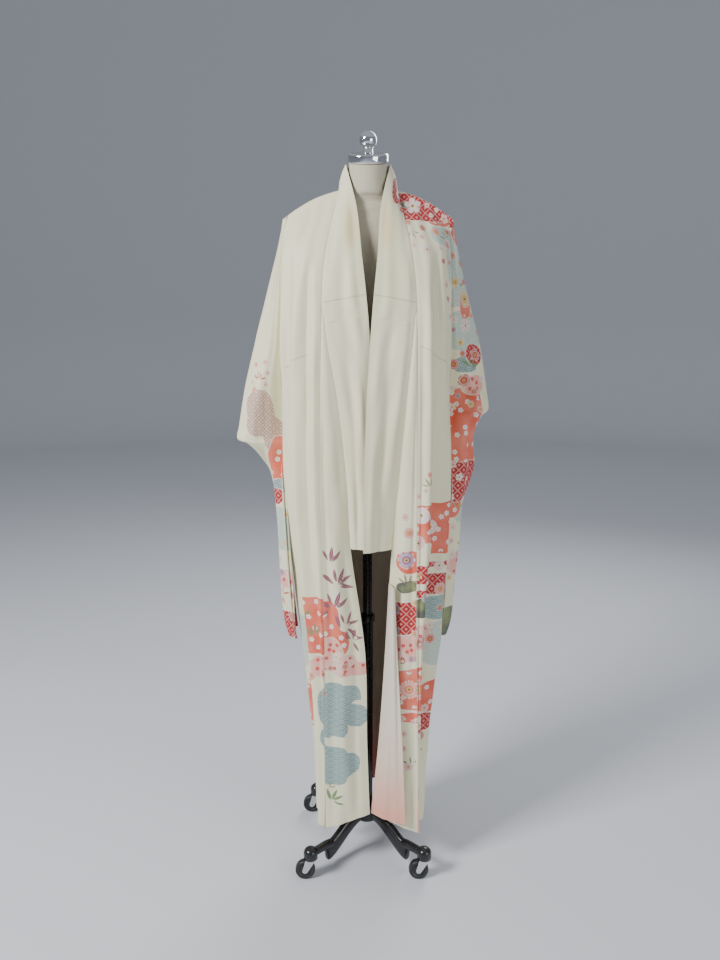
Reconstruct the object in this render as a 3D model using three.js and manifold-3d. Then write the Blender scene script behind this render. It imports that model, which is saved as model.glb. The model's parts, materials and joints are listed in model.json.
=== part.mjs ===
// A long-sleeved furisode worn open on a limbless dress form with a wheeled stand.
// Millimetres, +Z up, +X to the viewer's right and -Y to the front. The tables have the pole at X 0 and Y 0.
// "right" and "left" are the wearer's sides, so the right side has negative X.
import * as THREE from "three";
import { mergeVertices } from "three/addons/utils/BufferGeometryUtils.js";
import Module from "manifold-3d";

const wasm = await Module();
wasm.setup();

// Driving dimensions of the garment
const CLOTH = 2.2; // silk crepe and its lining as one wall
const LINING = 1.2; // the turned lining alone
const SEAM_GAP = 0.6; // clear space at a seam between two pieces
const FRONT_WIDTH = 245; // cut width of one front panel
const BACK_WIDTH = 300; // cut width of one back panel
const SHOULDER_CROWN = 8; // rise of the cloth over the shoulder's middle

// Driving dimensions of the form and stand
const NECK_TILT = THREE.MathUtils.degToRad(18);
const CAP_RADIUS = 47.5;
const CAP_THICKNESS = 21;
const CAP_HEIGHT = 1780; // middle of the cap
const STEM_RADIUS = 11.5;
const BALL_RADIUS = 20.5;
const TOTAL_HEIGHT = 1840;
const FORM_BOTTOM = 905;
const MAST_RADIUS = 12;
const MAST_BOTTOM = 420;
const TUBE_RADIUS = 15;
const TUBE_BORE = 12.6;
const TUBE_TOP = 636;
const COLLAR_HEIGHT = 20;
const COLLAR_RADIUS = 19.5;
const HUB_TOP = 120;
const HUB_RADIUS = 30;
const LEG_WIDTH = 34;
const CASTER_REACH = 205; // from the pole to each swivel axis
const SOCKET_BOTTOM = 54.6;
const SOCKET_TOP = 86;
const SOCKET_RADIUS = 18;
const WHEEL_RADIUS = 25;
const WHEEL_WIDTH = 17;
const WHEEL_FLATS = 24;
const WHEEL_BORE = 3.2;
const AXLE_RADIUS = 2.6;
const TRAIL = 14; // from the swivel axis back to the axle
const FORK_PLATE = 2;
const RUNNING_GAP = 0.6;

const lerp = (a, b, t) => a + (b - a) * t;
const clamp01 = (t) => Math.min(1, Math.max(0, t));
const smooth = (t) => clamp01(t) ** 2 * (3 - 2 * clamp01(t));
const row = (x, y, z) => ({ x, y, z });

// Levels of the garment from the shoulder fold down to the hem, with the grid row of each.
const LEVEL_ROWS = [0, 2, 4, 6, 8, 10, 13, 15, 18, 21, 24];
const TIP = 6; // the overlap's tip on the collar seam
const UNDERARM = 8; // lower end of the sleeve's seam
const SIDE_TOP = 10; // upper end of the side seam
const COLLAR_END = 15;
const HEM = 24;

// Seam lines, one row for each level. The levels are: shoulder, collarbone, chest, tip, underarm,
// side seam's top, hip, collar's end, thigh, knee and hem.
const SIDE_RIGHT = [
  row(-190, 0, 1650), row(-204, -22, 1590), row(-206, -34, 1520), row(-207, -38, 1440), row(-210, -32, 1345),
  row(-206, -4, 1210), row(-198, 5, 1010), row(-182, 8, 860), row(-147, 5, 600), row(-119, 0, 350), row(-108, 0, 120),
];
const SIDE_LEFT = [
  row(190, 0, 1650), row(194, -22, 1590), row(196, -34, 1520), row(198, -38, 1440), row(200, -32, 1345),
  row(201, -4, 1210), row(198, 5, 1010), row(188, 8, 860), row(160, 5, 600), row(133, 0, 350), row(119, 0, 120),
];
const CENTRE_BACK = [
  row(0, 62, 1702), row(0, 100, 1615), row(0, 113, 1525), row(0, 119, 1440), row(0, 118, 1345),
  row(0, 114, 1210), row(0, 113, 1010), row(0, 112, 860), row(0, 109, 600), row(0, 104, 350), row(0, 100, 118),
];
// The front panel's inner edge: the collar seam down to the overlap's tip, then the overlap's seam.
const INNER_RIGHT = [
  row(-68, 0, 1706), row(-88, -76, 1610), row(-102, -110, 1525), row(-106, -130, 1442), row(-108, -140, 1345),
  row(-112, -138, 1210), row(-115, -133, 1010), row(-110, -129, 860), row(-106, -125, 600), row(-108, -121, 350),
  row(-110, -118, 122),
];
const INNER_LEFT = [
  row(68, 0, 1706), row(90, -76, 1610), row(104, -110, 1525), row(110, -130, 1442), row(112, -142, 1345),
  row(114, -140, 1210), row(116, -136, 1010), row(117, -132, 860), row(119, -130, 600), row(127, -129, 350),
  row(131, -128, 114),
];
// The overlap's own inner edge: the collar seam from the tip to the collar's end, then the front edge,
// which on the left side is the fold where the overlap turns out.
const OVERLAP_RIGHT = [
  row(-106, -130, 1442), row(-94, -141, 1345), row(-71, -134, 1210), row(-50, -119, 1010), row(-42, -109, 860),
  row(-7, -112, 600), row(-1, -107, 350), row(6, -101, 150),
];
const OVERLAP_LEFT = [
  row(110, -130, 1442), row(101, -142, 1345), row(88, -137, 1210), row(70, -125, 1010), row(58, -112, 860),
  row(45, -106, 600), row(29, -99, 350), row(10, -93, 150),
];
// The collar's free edge, from beside the neck down to the collar's end.
const COLLAR_RIGHT = [
  row(-52, -6, 1764), row(-27, -66, 1660), row(-15, -112, 1548), row(-5, -134, 1458), row(3, -141, 1352),
  row(2, -138, 1210), row(0, -133, 1010), row(-3, -127, 862),
];
const COLLAR_LEFT = [
  row(52, -6, 1764), row(29, -66, 1660), row(21, -114, 1548), row(12, -141, 1458), row(4, -153, 1352),
  row(-4, -155, 1210), row(-9, -155, 1010), row(-11, -153, 860),
];
const COLLAR_BEHIND = row(0, 54, 1768); // the collar's free edge behind the neck

// A value between the rows of a table: a cubic through the rows.
function along(values, rows, r) {
  let k = 0;
  while (k < rows.length - 2 && r > rows[k + 1]) k++;
  const slope = (i) => {
    const a = Math.max(0, i - 1);
    const b = Math.min(values.length - 1, i + 1);
    return (values[b] - values[a]) / (rows[b] - rows[a]);
  };
  const h = rows[k + 1] - rows[k];
  const t = (r - rows[k]) / h;
  const rise = t * t * (3 - 2 * t);
  return lerp(values[k], values[k + 1], rise)
    + (t * (1 - t) ** 2 * slope(k) - t * t * (1 - t) * slope(k + 1)) * h;
}

// The point of a seam line at a grid row. The table's first line stands at LEVEL_ROWS[first].
function seam(table, r, first = 0) {
  const rows = LEVEL_ROWS.slice(first, first + table.length);
  const pick = (key) => along(table.map((p) => p[key]), rows, r);
  return new THREE.Vector3(pick("x"), pick("y"), pick("z"));
}

// A soft fold that runs down a piece from row "from" to row "to", drifting across from "at" to "end".
const fold = (at, end, from, to, depth, width) => ({ at, end, from, to, depth, width });

// How far the folds push a point outwards.
function foldDepth(folds, u, r) {
  let depth = 0;
  for (const f of folds) {
    const t = (r - f.from) / (f.to - f.from);
    if (t <= 0 || t >= 1) continue;
    const fade = smooth(t / 0.25) * smooth((1 - t) / 0.25);
    depth += f.depth * fade * Math.exp(-(((u - lerp(f.at, f.end, t)) / f.width) ** 2));
  }
  return depth;
}

// The level direction square to a curve at u, away from the pole.
function outward(base, u) {
  const step = 0.02;
  const run = base(Math.min(1, u + step)).sub(base(Math.max(0, u - step)));
  const out = new THREE.Vector3(run.y, -run.x, 0).normalize();
  const here = base(u);
  return out.dot(new THREE.Vector3(here.x, here.y, 0)) < 0 ? out.negate() : out;
}

// One grid row: a curve pushed out by its folds, and then pleated until it is as long as its cut width.
function pleatedRow(base, columns, { width, pleats, weight, deepest, depthAt }) {
  const directions = Array.from({ length: columns + 1 }, (_, c) => outward(base, c / columns));
  const make = (amount) => directions.map((out, c) => {
    const u = c / columns;
    const push = depthAt(u) + amount * weight(u) * Math.sin(2 * Math.PI * pleats * u);
    return base(u).addScaledVector(out, push);
  });
  const length = (points) => points.slice(1).reduce((sum, p, i) => sum + p.distanceTo(points[i]), 0);
  let low = 0;
  let high = deepest;
  for (let i = 0; i < 16; i++) {
    const middle = (low + high) / 2;
    if (length(make(middle)) < width) low = middle;
    else high = middle;
  }
  return make(low);
}

// A sheet of cloth: a grid of points on its middle surface, with a normal at each on the side it faces.
class Sheet {
  constructor(points, facing = (p) => new THREE.Vector3(p.x, p.y, 0)) {
    this.points = points;
    this.rows = points.length - 1;
    this.columns = points[0].length - 1;
    this.shifts = points.map((line) => line.map(() => new THREE.Vector3()));
    this.normals = points.map((line, r) => line.map((_, c) => this.normalAt(r, c)));
    const agreement = this.normals.flat().reduce((sum, n, i) => sum + n.dot(facing(points.flat()[i])), 0);
    if (agreement < 0) this.normals.flat().forEach((n) => n.negate());
  }

  normalAt(r, c) {
    const p = this.points;
    const down = p[Math.min(this.rows, r + 1)][c].clone().sub(p[Math.max(0, r - 1)][c]);
    const across = p[r][Math.min(this.columns, c + 1)].clone().sub(p[r][Math.max(0, c - 1)]);
    return down.cross(across).normalize();
  }

  // The solid wall between the sheet's two faces, closed round its rim.
  wall(thickness, offset = 0) {
    const faces = [offset + thickness / 2, offset - thickness / 2];
    const vertices = [];
    for (const side of faces) {
      for (let r = 0; r <= this.rows; r++) {
        for (let c = 0; c <= this.columns; c++) {
          const p = this.points[r][c].clone().add(this.shifts[r][c]).addScaledVector(this.normals[r][c], side);
          vertices.push(p.x, p.y, p.z);
        }
      }
    }
    const wide = this.columns + 1;
    const layer = wide * (this.rows + 1);
    const at = (side, r, c) => side * layer + r * wide + c;
    const index = [];
    const quad = (a, b, c, d) => index.push(a, b, c, a, c, d);
    for (let r = 0; r < this.rows; r++) {
      for (let c = 0; c < this.columns; c++) {
        quad(at(0, r, c), at(0, r + 1, c), at(0, r + 1, c + 1), at(0, r, c + 1));
        quad(at(1, r, c), at(1, r, c + 1), at(1, r + 1, c + 1), at(1, r + 1, c));
      }
    }
    for (let r = 0; r < this.rows; r++) {
      quad(at(0, r, 0), at(1, r, 0), at(1, r + 1, 0), at(0, r + 1, 0));
      quad(at(0, r + 1, this.columns), at(1, r + 1, this.columns), at(1, r, this.columns), at(0, r, this.columns));
    }
    for (let c = 0; c < this.columns; c++) {
      quad(at(0, 0, c + 1), at(1, 0, c + 1), at(1, 0, c), at(0, 0, c));
      quad(at(0, this.rows, c), at(1, this.rows, c), at(1, this.rows, c + 1), at(0, this.rows, c + 1));
    }
    return facingOut(vertices, index);
  }

  // The part of the sheet between two columns and two rows, with the same points and normals.
  cut(c0, c1, r0 = 0, r1 = this.rows) {
    const part = new Sheet(this.points.slice(r0, r1 + 1).map((line) => line.slice(c0, c1 + 1)));
    part.normals = this.normals.slice(r0, r1 + 1).map((line) => line.slice(c0, c1 + 1));
    part.shifts = this.shifts.slice(r0, r1 + 1).map((line) => line.slice(c0, c1 + 1));
    return part;
  }
}

// A closed mesh whose faces point out, whichever way round the sheet was written.
function facingOut(vertices, index) {
  let volume = 0;
  const point = (i) => new THREE.Vector3().fromArray(vertices, 3 * i);
  for (let i = 0; i < index.length; i += 3) {
    volume += point(index[i]).dot(point(index[i + 1]).cross(point(index[i + 2])));
  }
  if (volume < 0) {
    for (let i = 0; i < index.length; i += 3) [index[i], index[i + 1]] = [index[i + 1], index[i]];
  }
  const geometry = new THREE.BufferGeometry();
  geometry.setAttribute("position", new THREE.Float32BufferAttribute(vertices, 3));
  geometry.setIndex(index);
  return geometry;
}

// Seams are kept in a list and closed together, once every sheet is there.
const seams = [];
const sew = (a, placesA, b, placesB) => seams.push([a, placesA, b, placesB]);

// Sheets that meet at a place share one normal there, and each draws back from the mitre between them
// by half the seam's gap.
function closeSeams() {
  const key = (p) => [p.x, p.y, p.z].map((n) => Math.round(n * 8)).join();
  const shared = new Map();
  const places = seams.flatMap(([a, placesA, b, placesB]) => [
    ...placesA.map((place) => [a, place]), ...placesB.map((place) => [b, place]),
  ]);
  for (const [sheet, [r, c]] of places) {
    const k = key(sheet.points[r][c]);
    shared.set(k, (shared.get(k) ?? new THREE.Vector3()).add(sheet.normals[r][c]));
  }
  shared.forEach((normal) => normal.normalize());
  for (const [sheet, [r, c]] of places) {
    sheet.normals[r][c].copy(shared.get(key(sheet.points[r][c])));
  }
  for (const [a, placesA, b, placesB] of seams) {
    for (const [sheet, list] of [[a, placesA], [b, placesB]]) {
      list.forEach(([r, c], i) => {
        const [r0, c0] = list[Math.max(0, i - 1)];
        const [r1, c1] = list[Math.min(list.length - 1, i + 1)];
        const line = sheet.points[r1][c1].clone().sub(sheet.points[r0][c0]);
        drawBack(sheet, r, c, sheet.normals[r][c].clone().cross(line).normalize());
      });
    }
  }
}

// Draw a place back into its own sheet, along the direction across its seam.
function drawBack(sheet, r, c, acrossSeam) {
  const near = (n, most) => Math.min(most - 1, Math.max(1, n));
  const inner = sheet.points[near(r, sheet.rows)][near(c, sheet.columns)].clone().sub(sheet.points[r][c]);
  const side = inner.dot(acrossSeam) < 0 ? -1 : 1;
  sheet.shifts[r][c].addScaledVector(acrossSeam, (side * SEAM_GAP) / 2);
}

const down = (column, r0, r1) => Array.from({ length: r1 - r0 + 1 }, (_, i) => [r0 + i, column]);
const across = (r, c0, c1) => {
  const step = Math.sign(c1 - c0);
  return Array.from({ length: Math.abs(c1 - c0) + 1 }, (_, i) => [r, c0 + i * step]);
};

// Front panels, from the side (column 0) to the inner edge
const FRONT_COLUMNS = 11;
const FRONT_FOLDS_RIGHT = [
  fold(0.42, 0.42, 2, 12, -8, 0.08), fold(0.8, 0.7, 3, 17, -9, 0.07), fold(0.6, 0.55, 3, 19, 6, 0.09),
];
const FRONT_FOLDS_LEFT = [
  fold(0.55, 0.6, 2, 16, -8, 0.08), fold(0.8, 0.8, 3, 18, 6, 0.08), fold(0.35, 0.4, 9, 20, 6, 0.08),
];

function frontSheet(sideTable, innerTable, folds, sign) {
  const grid = [];
  for (let r = 0; r <= HEM; r++) {
    const side = seam(sideTable, r);
    const inner = seam(innerTable, r);
    const turn = smooth(r / 3);
    const base = (u) => {
      const a = (u * Math.PI) / 2;
      const share = lerp(u, 1 - Math.cos(a), turn);
      return new THREE.Vector3(
        lerp(side.x, inner.x, share),
        lerp(side.y, inner.y, lerp(u, Math.sin(a), turn)),
        lerp(side.z, inner.z, share) + (1 - turn) * SHOULDER_CROWN * Math.sin(Math.PI * u),
      );
    };
    grid.push(pleatedRow(base, FRONT_COLUMNS, {
      width: FRONT_WIDTH,
      pleats: 2,
      weight: (u) => -sign * (1 - 0.92 * smooth((u - 0.45) / 0.45)),
      deepest: 25 * smooth((r - 7) / 13),
      depthAt: (u) => foldDepth(folds, u, r),
    }));
  }
  return new Sheet(grid);
}

// Back panels, from the centre back seam (column 0) to the side
const BACK_COLUMNS = 15;
const NECK_COLUMNS = 4; // columns of the top row that follow the neck

function backSheet(sideTable, innerTable, sign) {
  const neck = seam(innerTable, 0);
  const shoulder = seam(sideTable, 0);
  const nape = seam(CENTRE_BACK, 0);
  const top = (u) => {
    const t = (u * BACK_COLUMNS) / NECK_COLUMNS;
    if (t <= 1) {
      const a = (t * Math.PI) / 2;
      return new THREE.Vector3(neck.x * Math.sin(a), nape.y * Math.cos(a), lerp(nape.z, neck.z, smooth(t)));
    }
    const s = 1 - (t - 1) / (BACK_COLUMNS / NECK_COLUMNS - 1);
    return new THREE.Vector3(
      lerp(shoulder.x, neck.x, s), 0, lerp(shoulder.z, neck.z, s) + SHOULDER_CROWN * Math.sin(Math.PI * s),
    );
  };
  const grid = [];
  for (let r = 0; r <= HEM; r++) {
    const side = seam(sideTable, r);
    if (r <= SIDE_TOP) side.y = -side.y;
    if (r === SIDE_TOP) side.y = Math.abs(side.y);
    const centre = seam(CENTRE_BACK, r);
    const turn = smooth(r / 4) ** 0.6;
    const base = (u) => {
      const a = (u * Math.PI) / 2;
      const round = new THREE.Vector3(side.x * Math.sin(a), lerp(side.y, centre.y, Math.cos(a)), 0);
      const flat = top(u);
      const height = lerp(centre.z, side.z, u);
      const drop = lerp(flat.z, height, smooth(r / 2.6));
      return flat.setZ(0).lerp(round, turn).setZ(drop);
    };
    grid.push(pleatedRow(base, BACK_COLUMNS, {
      width: BACK_WIDTH,
      pleats: 2.5,
      weight: () => sign,
      deepest: 28 * smooth((r - 5) / 15),
      depthAt: () => 0,
    }));
  }
  return new Sheet(grid);
}

// Overlap panels, from their seam (column 0) to the front edge, rows counted from the tip
const OVERLAP_COLUMNS = 5;
const OVERLAP_ROWS = HEM - TIP;
const OVERLAP_SWELL = 6;

function overlapSheet(innerTable, edgeTable, front) {
  const grid = [];
  for (let i = 0; i <= OVERLAP_ROWS; i++) {
    const r = TIP + i;
    const at = front.points[r][FRONT_COLUMNS].clone();
    const edge = seam(edgeTable, r, LEVEL_ROWS.indexOf(TIP));
    if (i === 0) {
      // The tip is cut off halfway down the first row, where the seams are a few millimetres apart.
      at.lerp(front.points[r + 1][FRONT_COLUMNS], 0.5);
      edge.copy(front.points[r][FRONT_COLUMNS]).lerp(seam(edgeTable, r + 1, LEVEL_ROWS.indexOf(TIP)), 0.5);
    }
    const line = [];
    for (let c = 0; c <= OVERLAP_COLUMNS; c++) {
      const u = c / OVERLAP_COLUMNS;
      const p = at.clone().lerp(edge, u);
      p.y -= OVERLAP_SWELL * Math.sin(Math.PI * u) * smooth(i / 6);
      line.push(p);
    }
    grid.push(line);
  }
  return new Sheet(grid);
}

// The left overlap's turned part: from the fold (column 0) to its free edge, rows from the collar's end.
const TURN_COLUMNS = 4;
const TURN_STAND = 8; // clear space between the overlap and its turned part
const TURN_WALL = 1.2; // the turned part's silk without its lining
const TURNED_EDGE = [row(64, -128, 780), row(73, -130, 600), row(88, -133, 350), row(97, -134, 150)];

function turnedSheet(overlap) {
  const grid = [];
  for (let r = COLLAR_END + 1; r <= HEM; r++) {
    const foldPoint = overlap.points[r - TIP][OVERLAP_COLUMNS];
    const edge = new THREE.Vector3(...["x", "y", "z"].map(
      (k) => along(TURNED_EDGE.map((p) => p[k]), [COLLAR_END + 1, 18, 21, HEM], r),
    ));
    edge.z = foldPoint.z - 4;
    const line = [];
    for (let c = 0; c <= TURN_COLUMNS; c++) {
      const u = c / TURN_COLUMNS;
      const p = foldPoint.clone().lerp(edge, u);
      const behind = overlap.points[r - TIP][Math.round(OVERLAP_COLUMNS - u * 4)];
      p.y = Math.min(p.y, behind.y) - (c === 0 ? CLOTH : TURN_STAND);
      line.push(p);
    }
    grid.push(line);
  }
  return new Sheet(grid);
}

// Sleeves: level sections from the armhole or open edge (column 0) to the outer edge.
// The middle line runs from inner to outer and bows away from the body; half is half the depth of the
// hollow at the inner edge, the middle and the outer edge.
const SLEEVE_COLUMNS = 8;
const CLOSED = (CLOTH + SEAM_GAP) / 2;
const FOLD_HALF = CLOSED + 0.9; // half the hollow at the shoulder's end, where the cloth bends over
const FOLD_START = 5; // the sleeve's top fold starts this far from the shoulder's end
const FOLD_DROP = 10; // fall of the sleeve's top fold from the shoulder's end to its outer edge
const section = (z, innerX, innerY, outerX, outerY, bow, halfInner, halfMiddle, halfOuter, wave) => (
  { z, innerX, innerY, outerX, outerY, bow, halfInner, halfMiddle, halfOuter, wave }
);
// Rows 0 to 8 lie along the armhole, whose inner places come from the body's side edge.
const SLEEVE_RIGHT = [
  section(1650, -190, 0, -203, 0, 0, FOLD_HALF, FOLD_HALF, FOLD_HALF, 0),
  section(1590, -204, 0, -213, 0, 0, 22, 16, CLOSED, 0),
  section(1520, -206, 0, -231, 0, 0, 34, 26, CLOSED, 1),
  section(1440, -207, 0, -252, 0, 0, 38, 30, CLOSED, 3),
  section(1345, -210, 0, -277, -2, 0, 32, 32, CLOSED, 4),
  section(1240, -226, -4, -303, -4, 0, 24, 34, CLOSED, 5),
  section(1150, -224, -10, -318, -5, 0, 18, 32, 8, 5),
  section(1118, -223, -14, -320, -5, 0, 14, 28, 18, 5),
  section(1105, -222, -16, -292, 0, 4, 12, 26, 20, 6),
  section(1070, -220, -22, -255, 20, 6, 10, 18, 10, 7),
  section(1025, -218, -30, -232, 45, 8, 9, 10, CLOSED, 8),
  section(900, -212, -38, -212, 68, 10, 8, 7, CLOSED, 9),
  section(760, -204, -40, -202, 70, 14, 8, 7, CLOSED, 10),
  section(650, -194, -38, -192, 66, 16, 7, 6, CLOSED, 10),
  section(602, -188, -34, -186, 58, 12, CLOSED, CLOSED, CLOSED, 9),
];
const SLEEVE_LEFT = [
  section(1650, 190, 0, 203, 0, 0, FOLD_HALF, FOLD_HALF, FOLD_HALF, 0),
  section(1590, 194, 0, 212, 0, 0, 22, 16, CLOSED, 0),
  section(1520, 196, 0, 228, 0, 0, 34, 26, CLOSED, 1),
  section(1440, 198, 0, 248, 0, 0, 38, 30, CLOSED, 3),
  section(1345, 200, 0, 274, -2, 0, 32, 32, CLOSED, 4),
  section(1255, 216, -4, 290, -4, 0, 24, 34, CLOSED, 5),
  section(1200, 216, -8, 297, -5, 0, 18, 30, 12, 5),
  section(1186, 216, -10, 292, -5, 0, 15, 28, 18, 5),
  section(1172, 216, -12, 276, 0, 4, 13, 26, 18, 6),
  section(1120, 216, -18, 260, 20, 6, 11, 18, CLOSED, 7),
  section(1045, 216, -28, 262, 45, 12, 10, 12, CLOSED, 9),
  section(940, 214, -36, 226, 66, 14, 8, 8, CLOSED, 10),
  section(800, 207, -38, 208, 68, 14, 8, 7, CLOSED, 10),
  section(660, 198, -36, 198, 64, 14, 7, 6, CLOSED, 10),
  section(606, 190, -32, 190, 56, 12, CLOSED, CLOSED, CLOSED, 9),
];
const SLEEVE_ROWS = [0, 2, 4, 6, 8, 10, 12, 13, 14, 15, 16, 18, 20, 22, 23];

function sleeveSheets(table, sideTable, armholes, sign) {
  const pick = (key, r) => along(table.map((s) => s[key]), SLEEVE_ROWS, r);
  const faces = [[], []];
  for (let r = 0; r <= SLEEVE_ROWS.at(-1); r++) {
    const armhole = r <= UNDERARM;
    const side = seam(sideTable, r);
    const inner = new THREE.Vector3(armhole ? side.x : pick("innerX", r), pick("innerY", r), 0);
    const outer = new THREE.Vector3(pick("outerX", r), pick("outerY", r), 0);
    const height = armhole ? side.z : pick("z", r);
    const chord = outer.clone().sub(inner).normalize();
    const front = new THREE.Vector3(chord.y, -chord.x, 0).multiplyScalar(sign);
    const middleLine = (u) => {
      const wave = pick("wave", r) * Math.sin(3 * Math.PI * u) * smooth(4 * u);
      return inner.clone().lerp(outer, u).addScaledVector(front, pick("bow", r) * Math.sin(Math.PI * u) + wave);
    };
    const half = (u) => {
      if (r === 0) return FOLD_HALF;
      const start = armhole ? Math.abs(side.y) : Math.max(CLOSED, pick("halfInner", r));
      const end = Math.max(CLOSED, pick("halfOuter", r));
      const swell = Math.max(0, pick("halfMiddle", r) - (start + end) / 2);
      return lerp(start, end, smooth(u)) + swell * Math.sin(Math.PI * u) ** 2;
    };
    faces.forEach((grid, f) => {
      const line = [];
      for (let c = 0; c <= SLEEVE_COLUMNS; c++) {
        const u = c / SLEEVE_COLUMNS;
        if (armhole && c === 0 && r > 0) {
          line.push(armholes[f][r]);
          continue;
        }
        const run = middleLine(Math.min(1, u + 0.02)).sub(middleLine(Math.max(0, u - 0.02))).normalize();
        const across = new THREE.Vector3(run.y, -run.x, 0).multiplyScalar(sign);
        across.lerp(front, 1 - smooth((r - UNDERARM) / 5)).normalize().multiplyScalar(f === 0 ? 1 : -1);
        const drop = FOLD_DROP * u * (1 - smooth(r / 2));
        const point = middleLine(u).addScaledVector(across, half(u)).setZ(height - drop);
        if (r === 0 && c === 0) point.addScaledVector(chord, FOLD_START);
        line.push(point);
      }
      grid.push(line);
    });
  }
  const facing = [
    (p) => new THREE.Vector3(sign * 0.5, -1, 0),
    (p) => new THREE.Vector3(-sign * 0.5, 1, 0),
  ];
  return faces.map((grid, f) => new Sheet(grid, facing[f]));
}

// The collar: a strip from its seam (column 0) to its free edge, from the right end round the neck to the left end.
const COLLAR_COLUMNS = 3;
const COLLAR_SWELL = 4;
const OVER_COLLAR_END = 7; // grid row of the over-collar's cross seams

function collarSheet(seamPoints, edgePoints) {
  const grid = seamPoints.map((start, i) => {
    const line = [];
    for (let c = 0; c <= COLLAR_COLUMNS; c++) {
      const u = c / COLLAR_COLUMNS;
      const p = start.clone().lerp(edgePoints[i], u);
      const out = new THREE.Vector3(p.x, p.y, 0).normalize();
      line.push(p.addScaledVector(out, COLLAR_SWELL * Math.sin(Math.PI * u)));
    }
    return line;
  });
  return new Sheet(grid);
}

// Materials
const finish = (color, roughness, metalness = 0) => new THREE.MeshStandardMaterial({ color, roughness, metalness });
const SILK = finish(0xe2eadf, 0.75);
const PATTERNED = finish(0xd98a72, 0.75);
const LINING_SILK = finish(0xc9b7ac, 0.7);
const LINEN = finish(0xcdc8b2, 0.9);
const CHROME = finish(0xd8d8d8, 0.12, 1);
const BLACK_PAINT = finish(0x17181a, 0.45);
const BLACK_PLASTIC = finish(0x1b1b1c, 0.5);
const STEEL = finish(0xb9bbbd, 0.3, 1);

const object = new THREE.Group();

function add(name, geometry, material, parent = object) {
  const mesh = new THREE.Mesh(geometry, material);
  mesh.name = name;
  parent.add(mesh);
  return mesh;
}

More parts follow.
